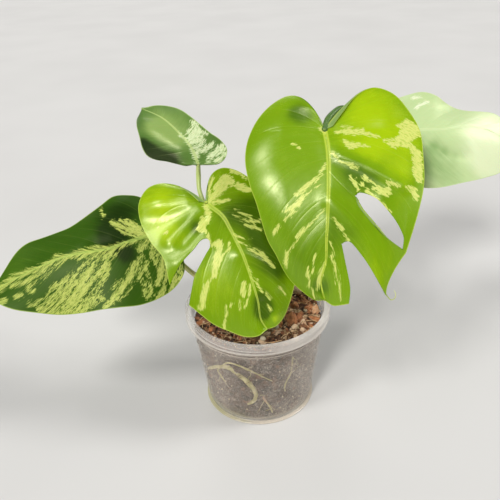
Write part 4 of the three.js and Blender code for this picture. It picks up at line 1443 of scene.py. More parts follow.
def small_leaf() -> Blade:
    """The small oldest leaf at the back on the left."""
    return Blade(
        name="small",
        slot=Slot.DARK,
        skin=LeafSkin("leaf_small", bright=display(134, 160, 84), middle=display(88, 122, 52),
                      deep=display(32, 50, 18), cream=display(212, 222, 174), faint=display(166, 190, 124),
                      rib=display(186, 204, 124), back=display(124, 152, 96), ragged=1.9, heart=0.7,
                      halo=0.75, soft=0.9, rib_width=1.3, shine=0.3, gloss=0.5),
        joint=(-41, 40, 181.5), tip=(-86, 78, 213), face=(-0.1, -0.7, 0.7),
        droop=(0.2, 0.2), soft=5, arch=8, lobe=0.5, ripple=((1.5, 2, 0), (1.5, 2, 0.2)), columns=4,
        midrib=((0, 0), (11, -4.5), (26, -6), (42, -6), (54, -4), (66, -1)),
        ribs=(
            (0, (3, 3), (-4, -3.5)), (0, (5.5, 7.5), (-9.5, -10.5)), (0.06, (11.5, 11.5), (-9, -18.5)),
            (0.14, (19, 15.5), (-4, -24.5)), (0.24, (26.5, 20), (3.5, -25.5)), (0.35, (33, 22), (12, -23)),
            (0.46, (39.5, 20.5), (21, -22)), (0.58, (47.5, 16), (30.5, -21.5)),
            (0.7, (56.5, 11.5), (41, -20.5)), (0.82, (64, 7), (50, -17)),
            (0.92, (66.5, 2.5), (58.5, -10.5)), (1, (66, -1), (66, -1)),
        ),
        veins=(0, 1.5, 3, 4.2, 5.4, 6.6, 7.8, 9, 11),
        quilt=0.12,
        lean=(1.6, 1.6),
        roll=(12, 0),
        ridges=((2.0, 8, ((54, 9), (34, 6), (16, 1))), (-0.8, 5, ((55, -1), (38, -2), (24, -4)))),
        dimples=((12, -10, 7, 1.2),),
        # Tone spots: a painted glare band along the midrib and painted shade on the rolled lower edge; some
        # of the leaf's own tone
        tones_and_painted_light=(
            (40, -8, 16, 0.4), (20, -12, 12, 0.2), (16, 13, 8, -1.3), (28, 19, 9, -1.4), (40, 20, 8, -1.2),
            (40, 4, 11, 0.9), (24, 2, 10, 0.7),
        ),
        marks=(
            ((3, -2, 1.5), (8, -6, 2), (15, -9, 3)), ((20, -13, 3), (12, -13, 4), (6, -11, 4)),
            ((25, -20, 1.5), (19, -17, 2.5), (13, -20, 1.5)), ((-3, -7, 1.5), (-1, -15, 3), (-4, -20, 4)),
            ((4, -16, 2), (2, -20, 2)), ((-7, -13, 3), (-1, -23, 2)),
            ((3, -1, 1.2), (13, -5, 1.2), (25, -6, 1)),
        ),
    )


def back_leaf() -> Blade:
    """The leaf behind on the right, its green painted pale with the sheen of the light on it."""
    return Blade(
        name="back",
        slot=Slot.PALE,
        # Greens paler than the leaf's own: a painted sheen of the light over a mid green
        skin=LeafSkin("leaf_back", bright=display(218, 228, 184), middle=display(186, 206, 148),
                      deep=display(134, 164, 100), cream=display(226, 232, 196),
                      faint=display(196, 212, 158), rib=display(206, 220, 168), back=display(140, 166, 112),
                      rib_show=0.55, ragged=1.5, soft=0.5, shine=0.33, gloss=0.55),
        joint=(100, 48, 199), tip=(203, 50, 179), face=(0.1, -0.75, 0.65),
        droop=(0.3, 0.3), soft=8, arch=8, lobe=0.6, ripple=((3, 2.6, 0.19), (2, 2, 0.2)), columns=5,
        midrib=((0, 0), (23, 3), (41, 5.5), (58, 11), (76, 11), (89, 6), (105, 0)),
        ribs=(
            (0, (-3, 6.5), (-2.5, -7.5)), (0, (-4, 15.5), (-1, -17)), (0, (0.5, 25), (5.5, -26.5)),
            (0, (8, 31.5), (14.5, -33.5)), (0.05, (16.5, 35), (24, -37)), (0.12, (25, 36.5), (32, -38)),
            (0.21, (34.5, 34), (40.5, -37.5)), (0.31, (42, 30.5), (48.5, -35.5)),
            (0.42, (51, 28), (58, -32)), (0.53, (61, 27), (68.5, -28)), (0.64, (71.5, 27), (78.5, -23.5)),
            (0.76, (81.5, 26), (86.5, -19.5)), (0.88, (90.5, 21), (94, -13.5)),
            (0.95, (98.5, 12), (99.5, -7.5)), (1, (105, 0), (105, 0)),
        ),
        veins=(0, 1.8, 3.4, 5, 6.2, 7.4, 8.6, 9.8, 11, 12.4, 14),
        quilt=0.12,
        lean=(2.2, 2.6),
        ridges=(
            (-0.8, 8, ((46, 22), (58, 25), (70, 25))),
            (-1.4, 4.5, ((28, -5), (38, -9), (45, -12), (58, -13))),
        ),
        # Tone spots: painted glare towards the tip and painted shade in the fold below the upper margin; some
        # of the leaf's own tone
        tones_and_painted_light=(
            (30, -12, 10, -0.5), (50, -26, 16, -0.5), (80, -2, 24, 1.4), (92, 10, 20, 1.2),
            (34, -8, 4, -0.4), (42, -11, 4, -0.45), (50, -13, 4, -0.35), (30, -24, 9, -0.4),
        ),
        marks=(
            ((20, 20, 1), (23, 25, 1.6), (28, 27, 1.8)), ((19, 31, 1), (24, 31, 1.2)),
        ),
    )


# Stalks and stem


@dataclass
class Petiole:
    """A channelled stalk from the stem to the underside of its blade."""

    name: str
    radii: Flat
    path: tuple[Point, ...]
    skin: StalkSkin
    sides: int = 18
    under_blade: float = 0.9
    knee: float = 9.0
    plant_middle: Point = (3.0, 10.0, 140.0)

    def build(self, blade: Blade) -> bpy.types.Object:
        """Models the stalk, sheathed at its foot, with a thicker knee just under the blade.

        Args:
            blade: The blade that it carries.

        Returns:
            The stalk's object.
        """
        joint, _, _, face = blade.axes()
        middle = centripetal([*self.path, joint - face * self.under_blade], max(60, len(self.path) * 16))
        knee = self.knee / float(np.sum(np.linalg.norm(np.diff(middle, axis=0), axis=1)))
        low, high = self.radii

        def radius(share: float) -> float:
            """The stalk's radius at a share of its length."""
            swell = 0.14 * high * math.exp(-(((share - (1 - knee)) / (0.5 * knee)) ** 2))
            return high + (low - high) * (1 - share) ** 2.5 + swell

        inward = np.array(self.plant_middle) - middle[len(middle) // 3]
        sheet = Sheet()
        sheet.tube(middle, radius, self.sides, self.section, up=tuple(inward))
        groove, run = sheet.layer("groove"), sheet.layer("run")
        for vert in sheet.bm.verts:
            i = min(len(middle) - 1, max(0, round(vert[run] * (len(middle) - 1))))
            reach = math.dist(vert.co, middle[i]) / radius(vert[run])
            vert[groove] = min(1.0, max(0.0, (0.98 - reach) / 0.16))
        sheet.merge()
        sheet.outward()
        return sheet.piece(f"stalk_{self.name}", self.skin.paint(), Slot.STALK, [f"petiole_{self.name}"])

    @staticmethod
    def section(share: float, turn: float) -> float:
        """Channelled on its upper side, deeper low down where the sheath opens.

        Args:
            share: The share of the stalk's length.
            turn: The turn from its upper side.

        Returns:
            A factor on the radius.
        """
        turn = min(turn, FULL_TURN - turn)
        depth = 0.2 + 0.25 * max(0.0, 1 - share / 0.45)
        lips = 0.1 * math.exp(-(((turn - 0.95) / 0.35) ** 2))
        return 1 + 0.05 * math.cos(2 * turn) - depth * math.exp(-((turn / 0.5) ** 2)) + lips


def stalks() -> list[Petiole]:
    """The five stalks with their paths and finishes.

    Returns:
        The stalks, from the newest leaf's to the back one's.
    """
    green = StalkSkin("stalk_green", low=display(142, 162, 76), high=display(188, 204, 120))
    # The newest leaf's stalk: its green painted darker, as painted shade where it stands behind its blade
    dark = StalkSkin("stalk_shaded", low=display(96, 128, 44), high=display(70, 104, 36),
                     fleck=display(168, 190, 96))
    pale = StalkSkin("stalk_pale", low=display(224, 220, 140), high=display(232, 230, 150),
                     brown=display(188, 162, 96))
    return [
        Petiole("newest", (3.6, 2.5),
                ((3, 10, 90), (20, 12, 94), (44, 20, 122.5), (62, 28, 154), (73.5, 34, 183), (75.5, 38, 205),
                 (70, 36, 217.5), (62.5, 30, 222), (57, 24, 221.5), (52, 18.5, 218)), dark),
        Petiole("centre", (3.4, 2),
                ((3, 10, 90), (1, 10, 104), (-6, 14, 121), (-18, 16, 142), (-28, 12, 157), (-32.2, 6, 163.4)),
                green),
        Petiole("left", (3.2, 1.7),
                ((3, 9, 79), (-21, 8, 88.5), (-40.5, 7, 100.5), (-53.5, 9, 111.5), (-64, 12, 125),
                 (-69.6, 11.8, 135)), pale),
        Petiole("small", (3, 1.6),
                ((3, 10, 88), (-8, 13, 98), (-21, 18, 118), (-31.5, 24, 138.5), (-38, 29.5, 155),
                 (-41, 35, 163), (-41.3, 40, 172)), green),
        Petiole("back", (3.3, 1.9),
                ((3, 11, 79), (20, 17, 85.5), (41, 30, 104), (62, 42, 133.5), (78.5, 48.5, 161.5),
                 (92, 51.5, 184.5)), green),
    ]


@dataclass
class MainStem:
    """The short stem, ringed by old leaf scars."""

    foot: Point = (4, 9, 57)
    tip: Point = (3, 10, 96)
    bow: float = 1.0
    foot_radius: float = 7.5
    tip_radius: float = 5.0
    scars: tuple[float, ...] = (0.2, 0.38, 0.55, 0.7, 0.83)
    skin: StalkSkin = StalkSkin("stem_skin", low=display(112, 96, 60), high=display(122, 146, 66), rough=0.6)

    def radius(self, share: float) -> float:
        """Swollen between the scars, with a sharp thin lip at each.

        Args:
            share: The share of the stem's length.

        Returns:
            The radius there.
        """
        plain = self.foot_radius + (self.tip_radius - self.foot_radius) * share
        lips = sum(math.exp(-(((share - place) / 0.012) ** 2)) for place in self.scars)
        return plain + 0.5 * math.cos(6 * math.pi * share) + 0.35 * lips

    @staticmethod
    def section(share: float, turn: float) -> float:
        """A little lumpy: a factor on the radius."""
        return 1 + 0.04 * math.sin(3 * turn + 9 * share) + 0.03 * math.sin(5 * turn - 14 * share)

    def build(self) -> bpy.types.Object:
        """Models the stem.

        Returns:
            The stem's object.
        """
        x, y, z = ((a + b) / 2 for a, b in zip(self.foot, self.tip))
        path = centripetal([self.foot, (x + self.bow, y, z), self.tip], 70)
        sheet = Sheet()
        sheet.tube(path, self.radius, 32, self.section, up=(1, 0, 0), layers={"groove": 0.0})
        sheet.merge()
        sheet.outward()
        return sheet.piece("stem_short", self.skin.paint(), Slot.STEM, ["main_stem"])


# Cup, roots and mix


@dataclass
class Cup:
    """The clear nursery cup: foot, rounded heel, tapered wall, stacking ring and flat rolled rim."""

    heel_radius: float = 42.3
    heel_height: float = 7.0
    ring_radius: float = 50.6
    ring_height: float = 70.0
    wall: float = 0.9
    drains: int = 6
    drain_radius: float = 3.0
    drain_circle: float = 24.0
    sides: int = 144
    skin: ClearPlastic = ClearPlastic()
    outline: tuple[Flat, ...] = (
        (0, 0), (20, 0), (38, 0), (41.6, 0), (42.4, 0.1), (42.8, 0.35), (43.1, 0.7), (42.9, 1.1), (42.2, 1.4),
        (40.9, 1.6), (40.4, 1.9), (40.5, 2.6), (41, 3.4), (41.7, 4.6), (42.15, 6), (42.4, 7.6), (44, 20),
        (46, 35), (48, 49.8), (49.8, 63), (50.5, 68.3), (50.7, 69), (51.2, 69.3), (51.3, 69.9), (51.1, 70.3),
        (51.1, 70.9), (51.4, 71.3), (51.5, 71.9), (51.4, 72.4), (51.6, 73.5), (51.9, 75), (52.2, 75.7),
        (53, 75.9), (54.4, 76), (54.85, 76.2), (55, 76.6), (54.9, 77.4), (54.75, 79), (54.8, 81), (55, 82),
        (54.9, 82.6), (54.4, 82.95), (53.6, 83), (52.2, 82.9), (51.2, 82.95), (50.7, 82.8), (50.4, 82.3),
        (50.35, 81.4), (50.5, 80.2), (51.1, 76), (50.9, 73.5), (50.5, 70.2), (49.8, 69), (48.9, 62), (47, 48),
        (45, 33), (43, 19), (41.45, 7.4), (41.2, 5.6), (40.5, 4.2), (39.6, 3), (38.6, 2.1), (37.4, 1.6),
        (20, 1.6), (0, 1.6),
    )

    def inside(self, z: float) -> float:
        """The wall's inner radius at a height."""
        rise = (z - self.heel_height) / (self.ring_height - 1 - self.heel_height)
        return self.heel_radius + (self.ring_radius - self.heel_radius) * rise - self.wall

    def drill(self) -> bpy.types.Object:
        """The pins that the drain holes are cut with.

        Returns:
            Their object.
        """
        pins = Sheet()
        for i in range(self.drains):
            place = polar(self.drain_circle, FULL_TURN * (i + 0.5) / self.drains)
            bmesh.ops.create_cone(pins.bm, cap_ends=True, segments=28, radius1=self.drain_radius,
                                  radius2=self.drain_radius, depth=8, matrix=Matrix.Translation(place))
        return hang("drill", pins.mesh("drill"))

    def build(self) -> bpy.types.Object:
        """Spins the cup's outline and drills its drain holes.

        Returns:
            The cup's object.
        """
        sheet = Sheet()
        sheet.spin(self.outline, self.sides)
        cup = sheet.piece("cup", self.skin.paint(), Slot.CLEAR, ["pot"])
        pins = self.drill()
        cutting = cup.modifiers.new("drains", "BOOLEAN")
        cutting.operation, cutting.solver, cutting.object = "DIFFERENCE", "EXACT", pins
        bpy.context.view_layer.update()
        cut = bpy.data.meshes.new_from_object(cup.evaluated_get(bpy.context.evaluated_depsgraph_get()))
        cup.modifiers.clear()
        cup.data = cut
        bpy.data.objects.remove(pins)
        return cup


@dataclass(frozen=True)
class RootRun:
    """One root: its radius, its places on the wall as angle and height, and the root that it leaves."""

    radius: float
    wall: tuple[Flat, ...]
    parent: tuple[int, int] | None = None
    swell: float = 0.0
    dive: float = 0.0
    blush: float = 0.0


@dataclass
class Roots:
    """Pale roots that run along the cup's wall, with fine side roots and hairs."""

    cup: Cup
    seat: float = 0.8
    places: int = 70
    crown: Point = (4, 9, 49)
    crown_radius: float = 6.0
    seed: int = 5
    skin: RootSkin = RootSkin()
    fine_skin: RootSkin = RootSkin("root_fine_skin", pale=display(190, 176, 130))
    runs: tuple[RootRun, ...] = (
        RootRun(1.45, ((-155, 36), (-141, 45), (-128, 52), (-119, 54), (-111, 49.5), (-102, 43.5),
                       (-97, 37.5), (-94, 28.5), (-97, 22), (-103, 18.5)), swell=0.5),
        RootRun(0.6, ((-118, 60), (-105, 59), (-94, 54), (-86, 49), (-78, 44)), (0, 2)),
        RootRun(0.95, ((-86, 25), (-82, 19), (-79, 14), (-77, 8.5)), (0, 6), dive=8.0, blush=1.0),
        RootRun(0.8, ((-59, 62), (-59, 50), (-60, 45), (-63, 40.5), (-65, 34), (-64, 29))),
        RootRun(0.6, ((-133, 46), (-129, 42), (-126, 38)), (0, 2)),
        RootRun(1.3, ((58, 40), (72, 46), (90, 42), (108, 30), (118, 18))),
        RootRun(0.8, ((52, 38), (36, 30), (24, 18)), (5, 1)),
    )

    def on_wall(self, angle: float, z: float, radius: float) -> Point:
        """A place against the wall for a root of that radius."""
        return polar(self.cup.inside(z) - self.seat - radius, math.radians(angle), z)

    def thickness(self, run: RootRun, share: float) -> float:
        """A root's radius at a share of its length."""
        return run.radius * (1.1 - 0.4 * share + run.swell * math.exp(-(((share - 0.82) / 0.2) ** 2)))

    def path(self, run: RootRun) -> Array:
        """The smooth path, held back wherever it would press into the wall.

        Args:
            run: The root.

        Returns:
            Places along it.
        """
        span = len(run.wall) + (0 if run.parent and not run.dive else 1)
        along = []
        for i, (angle, z) in enumerate(run.wall, span - len(run.wall) + 1):
            along.append(self.on_wall(angle, z, self.thickness(run, i / span)))
        if run.parent:
            parent = self.runs[run.parent[0]]
            angle, z = parent.wall[run.parent[1]]
            lead = [self.on_wall(angle, z, parent.radius)]
            if run.dive:
                far, foot = run.wall[0]
                depth = self.thickness(run, 0.0) + run.dive
                lead.append(self.on_wall((angle + far) / 2, (z + foot) / 2, depth))
        else:
            (x, y, z), (cx, cy, cz) = along[0], self.crown
            lead = [self.crown, ((cx + x) / 2, (cy + y) / 2, cz + (z - cz) * 0.35 - 3)]
        line = centripetal([*lead, *along], self.places)
        for i, (x, y, z) in enumerate(line):
            reach = self.cup.inside(z) - self.seat - self.thickness(run, i / (self.places - 1))
            line[i, :2] *= min(1.0, reach / math.hypot(x, y))
        return line

    def main_roots(self, draw: random.Random, paths: list[Array]) -> bpy.types.Object:
        """Models the crown and the roots that run from it.

        Args:
            draw: The seeded draw.
            paths: Each root's places.

        Returns:
            Their object.
        """
        sheet = Sheet()
        for vert in bmesh.ops.create_icosphere(sheet.bm, subdivisions=3, radius=self.crown_radius)["verts"]:
            vert.co += vert.co.normalized() * 0.6 * noise.noise(vert.co * 0.3) + Vector(self.crown)
        for run, path in zip(self.runs, paths):
            phase = draw.uniform(0, 6)

            def radius(share: float, run: RootRun = run, phase: float = phase) -> float:
                """The root's radius, lightly knotted, drawn to a point at its end."""
                knots = 1 + 0.07 * math.sin(37 * share + phase) + 0.05 * math.sin(71 * share + 2 * phase)
                return self.thickness(run, share) * knots * (1 - 0.35 * max(0.0, (share - 0.93) / 0.07))

            sheet.tube(path, radius, 12, layers={"blush": run.blush})
        sheet.merge(0.0005)
        return sheet.piece("roots_main", self.skin.paint(), Slot.ROOT, ["roots"])

    def fine_roots(self, draw: random.Random, paths: list[Array]) -> bpy.types.Object:
        """Models short side roots that creep along the wall.

        Args:
            draw: The seeded draw.
            paths: Each main root's places.

        Returns:
            Their object.
        """
        sheet = Sheet()
        for path, run in zip(paths, self.runs):
            for _ in range(7 if run.radius > 1 else 4):
                x, y, z = path[draw.randrange(18, 66)]
                angle = math.degrees(math.atan2(y, x))
                drift, fall = draw.choice((-1, 1)) * draw.uniform(3, 9), draw.uniform(-7, 2)
                places = []
                for f in (0, 0.35, 0.7, 1.0, 1.3):
                    turn = angle + drift * f + draw.uniform(-1, 1)
                    level = min(66, max(9, z + fall * f * 1.6 + draw.uniform(-0.8, 0.8)))
                    places.append(self.on_wall(turn, level, 0.3))
                sheet.tube(centripetal(places, 16), lambda share: 0.3 - 0.17 * share, 5)
        sheet.merge(0.0005)
        return sheet.piece("roots_fine", self.fine_skin.paint(), Slot.ROOT, ["roots"])

    def build(self) -> list[bpy.types.Object]:
        """Models the roots and, as a piece of their own, the fine ones.

        Returns:
            Both objects.
        """
        draw = random.Random(self.seed)
        paths = [self.path(run) for run in self.runs]
        return [self.main_roots(draw, paths), self.fine_roots(draw, paths)]


@dataclass
class PottingMix:
    """Bark, perlite and coir in the cup, heaped a little at the top.

    Counts are of shapes drawn at random; those listed come before them. stem_clear is the bare ring
    round the stem, as its x, y and radius. front_roots are places on the wall as angle, height and radius
    that stay clear, so that the roots show.
    """

    cup: Cup
    top: float = 74.5
    side_top: float = 69.0
    inset: float = 1.4
    stem_clear: Point = (4, 9, 8)
    top_chips: int = 250
    top_crumbs: int = 620
    wall_chips: int = 210
    top_grains: int = 46
    wall_grains: int = 110
    top_threads: int = 480
    wall_threads: int = 80
    seed: int = 23
    core_skin: BarkSkin = BarkSkin("mix_core_skin", 1.3)
    bark: BarkSkin = BarkSkin()
    perlite: PerliteSkin = PerliteSkin()
    fibre: FibreSkin = FibreSkin()
    chips_on_top: tuple[Spot, ...] = (
        (24.9, -13.5, 12.5, 0.66), (19.7, -25.8, 8.5, 0.46), (-38, -12.9, 8, 0.42), (-26.4, -25.3, 9, 0.3),
        (32, 28, 10, 1.05), (44, -1.8, 8, 0.9), (38.2, 12.1, 7, 0.62), (3.9, -36.1, 8, 0.3),
        (31.7, -9.3, 9, 0.6), (-13.2, -30.3, 8, 0.5), (34.6, -20.3, 8, 0.45), (41.3, -9, 6, 0.8),
        (12, -20, 9, 0.55), (0, -26, 8, 0.4), (-33.9, -21.3, 6, 0.6), (22, -2, 9, 0.7), (14, 6, 7, 0.5),
        (28, 8, 8, 0.8),
    )
    grains_on_top: tuple[Point, ...] = (
        (3.2, -37.5, 4.4), (13, -23.5, 4.2), (10, -27, 3), (-20, -34, 2), (36, -2, 2), (8, -30, 2.2),
        (29, -25, 2), (44, 6, 2.2),
    )
    front_roots: tuple[Point, ...] = (
        (-141, 45, 7), (-131, 51, 9), (-120, 54, 7), (-112, 51, 6), (-104, 45, 7), (-97, 38, 7), (-94, 29, 7),
        (-99, 20, 7), (-105, 59, 5), (-94, 54, 5), (-86, 49, 5), (-79, 44, 4), (-85, 24, 5), (-80, 15, 5),
        (-60, 56, 5), (-60, 48, 5), (-63, 38, 5), (-64, 30, 4),
    )

    def relief(self, x: float, y: float) -> float:
        """The heave of the mix's top."""
        return 1.5 * (math.sin(x / 5.3 + 1.1) * math.cos(y / 4.7) + 0.6 * math.sin((x + y) / 3.1))

    def heaped(self, x: float, y: float, above: float, half: float = 0.0) -> Vector:
        """A place over the heaved top, by a height and half a thing's size."""
        return Vector((x, y, self.top + self.relief(x, y) * 0.8 + above + half))

    def walled(self, z: float, turn: float, gap: float, half: float = 0.0) -> Vector:
        """A place inside the wall, by a gap and half a thing's size."""
        return Vector(polar(self.cup.inside(z) - gap - half, turn, z))

    def on_disc(self, draw: random.Random, radius: float) -> Flat:
        """A drawn distance and turn, even over a disc."""
        return radius * math.sqrt(draw.random()), draw.uniform(0, FULL_TURN)

    def by_stem(self, x: float, y: float) -> bool:
        """True for a place in the bare ring round the stem."""
        return math.dist((x, y), self.stem_clear[:2]) < self.stem_clear[2]

    def hides_root(self, place: Vector) -> bool:
        """True if a place on the wall would cover one of the front roots."""
        angle = math.degrees(math.atan2(place.y, place.x))
        return any(math.hypot((angle - a) * 0.8, place.z - z) < reach for a, z, reach in self.front_roots)

    def core(self) -> bpy.types.Object:
        """The dark body of the mix, lumpy all over.

        Returns:
            Its object.
        """
        reach, brim = self.cup.inside, self.cup.inside(self.side_top)
        outline = [(0, 1.9), (20, 1.9), (36.6, 1.9), (38.6, 3.6), (39.6, 5), (reach(7) - self.inset, 7)]
        outline += [(reach(z) - self.inset, z) for z in np.arange(8.2, self.side_top, 1.2)]
        outline += [(brim - self.inset, z) for z in (70.2, 71.4, 72.6, 73.6)]
        outline += [(r, self.top) for r in np.arange(brim - 2.2, 0.5, -1.3)] + [(0, self.top)]
        sheet = Sheet()
        sheet.spin(outline, 200)
        tint = sheet.layer("tint")
        for vert in sheet.bm.verts:
            x, y, z = vert.co
            far, spots = noise.voronoi(vert.co / 5.5, distance_metric="DISTANCE", exponent=2.5)
            lump = far[1] - far[0]
            crumb = noise.fractal(vert.co * 0.6, 1.0, 2.0, 3)
            vert[tint] = (0.14 if z > 70 else 0.0) + 0.5 * abs(noise.noise(spots[0] * 7.3)) + 0.08 * lump
            if z > self.top - 1.2:
                vert.co.z += self.relief(x, y) * 0.8 - 1.2 + 2.2 * min(0.5, lump) + 0.7 * crumb
            elif z > 6:
                push = min(-1.6 + 2.4 * min(0.6, lump) + 0.5 * crumb, 0.5)
                around = math.hypot(x, y)
                vert.co.x += x / around * push
                vert.co.y += y / around * push
        return sheet.piece("mix_core", self.core_skin.paint(), Slot.MIX, ["substrate"])

    def chip(self, sheet: Sheet, draw: random.Random, place: Vector, long: float, tint: float,
             turn: Matrix | None = None) -> None:
        """One bark chip, a bevelled crooked block.

        Args:
            sheet: The mesh that it joins.
            draw: The seeded draw.
            place: Its middle.
            long: Its length.
            tint: Its place between black and orange.
            turn: A set rotation, or None for a drawn one.
        """
        layer = sheet.layer("tint")
        made = bmesh.ops.create_icosphere(sheet.bm, subdivisions=2 if long > 5 else 1, radius=1.0)["verts"]
        size = Vector((1, draw.uniform(0.5, 0.78), draw.uniform(0.36, 0.58))) * (long / 2)
        if turn is None:
            tip, lean = (Matrix.Rotation(draw.uniform(-0.6, 0.6), 3, axis) for axis in "XY")
            turn = tip @ lean @ Matrix.Rotation(draw.uniform(0, math.pi), 3, "Z")
        shear = Vector([draw.uniform(-0.35, 0.35) for _ in range(3)])
        for vert in made:
            block = vert.co / max(abs(v) for v in vert.co) ** 0.75
            block += Vector((block.y * shear.x, block.z * shear.y, block.x * shear.z))
            block += Vector([draw.uniform(-0.12, 0.12) for _ in range(3)])
            vert.co = turn @ (block * size) + place
            vert[layer] = tint

    @staticmethod
    def outward_turn(angle: float, spin: float) -> Matrix:
        """A rotation that lays a chip's flat side against the wall at that angle."""
        upended = Matrix.Rotation(math.pi / 2, 3, "Y") @ Matrix.Rotation(spin, 3, "Z")
        return Matrix.Rotation(angle, 3, "Z") @ upended

    def chips(self, draw: random.Random) -> bpy.types.Object:
        """Bark chips listed on top, then chips and crumbs drawn on top, then chips along the wall.

        Args:
            draw: The seeded draw.

        Returns:
            Their object.
        """
        heap = Heap()
        for x, y, long, tint in self.chips_on_top:
            self.chip(heap.next(), draw, self.heaped(x, y, long * 0.08), long, tint)
        for _ in range(self.top_chips):
            reach, turn = self.on_disc(draw, 46.5)
            if self.by_stem(*polar(reach, turn)[:2]):
                continue
            long = 2.6 + 5.4 * draw.random() ** 1.8
            x, y = polar(min(reach, 48.3 - long / 2), turn)[:2]
            # Chips on the right are lighter and those on the left darker: painted light and shade, the top
            # being lit from the right
            tint = 0.2 + 0.7 * draw.random() + (0.3 if x > 0 else -0.25)
            self.chip(heap.next(), draw, self.heaped(x, y, draw.uniform(-0.8, 0.8)), long, tint)
        for _ in range(self.top_crumbs):
            x, y = polar(*self.on_disc(draw, 47.6))[:2]
            if not self.by_stem(x, y):
                place = self.heaped(x, y, draw.uniform(0.2, 1.5))
                self.chip(heap.next(), draw, place, draw.uniform(0.9, 2.6), draw.uniform(0.25, 1.1))
        for _ in range(self.wall_chips):
            z, turn = draw.uniform(8, 69), draw.uniform(0, FULL_TURN)
            long = 2.4 + 5 * draw.random() ** 1.8
            place = self.walled(z, turn, 0.35, long * 0.2)
            if not self.hides_root(place):
                tint = -0.1 + 0.45 * draw.random() ** 2
                flat = self.outward_turn(turn, draw.uniform(0, math.pi))
                self.chip(heap.next(), draw, place, long, tint, flat)
        return heap.close().piece("bark_chips", self.bark.paint(), Slot.MIX, ["substrate"], smooth=False)

    def grains(self, draw: random.Random) -> bpy.types.Object:
        """Perlite grains set by hand on top, then drawn on top and along the wall; the largest are whitest.

        Args:
            draw: The seeded draw.

        Returns:
            Their object.
        """
        places = [(self.heaped(x, y, 0.8, size * 0.5), size) for x, y, size in self.grains_on_top]
        for _ in range(self.top_grains):
            x, y = polar(*self.on_disc(draw, 46))[:2]
            places.append((self.heaped(x, y, 0.6), draw.uniform(0.9, 2.2)))
        for _ in range(self.wall_grains):
            z, turn = draw.uniform(7, 69), draw.uniform(0, FULL_TURN)
            size = draw.uniform(0.4, 1.5)
            place = self.walled(z, turn, 0.3, size * 0.5)
            if not self.hides_root(place):
                places.append((place, size))
        heap = Heap()
        for place, size in places:
            sheet = heap.next()
            layer = sheet.layer("tint")
            tint = draw.random() if size < 4 else -1.0
            for vert in bmesh.ops.create_icosphere(sheet.bm, subdivisions=2, radius=size / 2)["verts"]:
                vert.co = vert.co * (1 + 0.35 * noise.noise(vert.co * 1.3 + place)) + place
                vert[layer] = tint
        return heap.close().piece("perlite_grains", self.perlite.paint(), Slot.MIX, ["substrate"])

    def thread(self, draw: random.Random, pressed: bool) -> list[Point]:
        """Draws one coir thread's line, held inside the cup.

        Args:
            draw: The seeded draw.
            pressed: True for one pressed against the wall, False for one strewn on top.

        Returns:
            Four places along it.
        """
        if pressed:
            z, turn = draw.uniform(9, 68), draw.uniform(0, FULL_TURN)
            start = self.walled(z, turn, 0.5)
            way = Vector((-math.sin(turn), math.cos(turn), 0)) * draw.choice((-1, 1))
            way += Vector((0, 0, draw.uniform(-0.9, 0.9)))
        else:
            start = Vector(polar(*self.on_disc(draw, 45.5), self.top + draw.uniform(1.2, 3.9)))
            way = Vector((draw.uniform(-1, 1), draw.uniform(-1, 1), draw.uniform(-0.1, 0.25)))
        way.normalize()
        bend = Vector((draw.uniform(-1, 1), draw.uniform(-1, 1), draw.uniform(-0.4, 0.4)))
        long = draw.uniform(4, 13)
        line = []
        for f in (0, 0.3, 0.6, 1.0):
            place = start + way * long * f + bend * long * 0.3 * f * f
            limit = self.cup.inside(min(place.z, self.side_top)) - (0.45 if place.z < 72 else 0.9)
            around = math.hypot(place.x, place.y)
            if around > limit or pressed:
                place.x, place.y = place.x * limit / around, place.y * limit / around
            place.z = min(max(place.z, 6.5), 80.5)
            line.append(tuple(place))
        return line

    def threads(self, draw: random.Random) -> bpy.types.Object:
        """Coir threads strewn on top, then threads pressed against the wall.

        Args:
            draw: The seeded draw.

        Returns:
            Their object.
        """
        heap = Heap()
        for pressed in [False] * self.top_threads + [True] * self.wall_threads:
            path = centripetal(self.thread(draw, pressed), 9)
            thick = draw.uniform(0.16, 0.36)
            tint = -0.3 if pressed else draw.random()
            heap.next().tube(path, lambda share, thick=thick: thick * (1 - 0.5 * share), 4,
                             layers={"tint": tint})
        return heap.close().piece("coir_threads", self.fibre.paint(), Slot.MIX, ["substrate"])

    def build(self) -> list[bpy.types.Object]:
        """Models the core and what lies in and on it, drawn in this order.

        Returns:
            The four objects.
        """
        draw = random.Random(self.seed)
        return [self.core(), self.chips(draw), self.grains(draw), self.threads(draw)]


@dataclass
class Tendril:
    """The thin dried curl left on the tip of the newest leaf's lobe."""

    skin: StalkSkin = StalkSkin("tendril_skin", low=display(150, 170, 60), high=display(196, 200, 120))
    curl: tuple[Point, ...] = (
        (109.5, 40, -5.5), (112.5, 42, -5.2), (114.6, 44.2, -4.4), (113.6, 46.4, -3.4), (110.6, 47.2, -3),
        (108.2, 46.2, -3.6),
    )

    def build(self, blade: Blade) -> bpy.types.Object:
        """Models the curl on the blade's lobe.

        Args:
            blade: The newest leaf.

        Returns:
            The curl's object.
        """
        joint, along, across, face = blade.axes()
        places = [joint + along * x + across * y + face * h for x, y, h in self.curl]
        sheet = Sheet()
        sheet.tube(centripetal(places, 40), lambda share: 0.45 - 0.25 * share, 8, layers={"groove": 0.0})
        sheet.merge(0.0005)
        sheet.outward()
        return sheet.piece("leaf_newest_curl", self.skin.paint(), Slot.LIME, ["blade_newest"])


# Studio


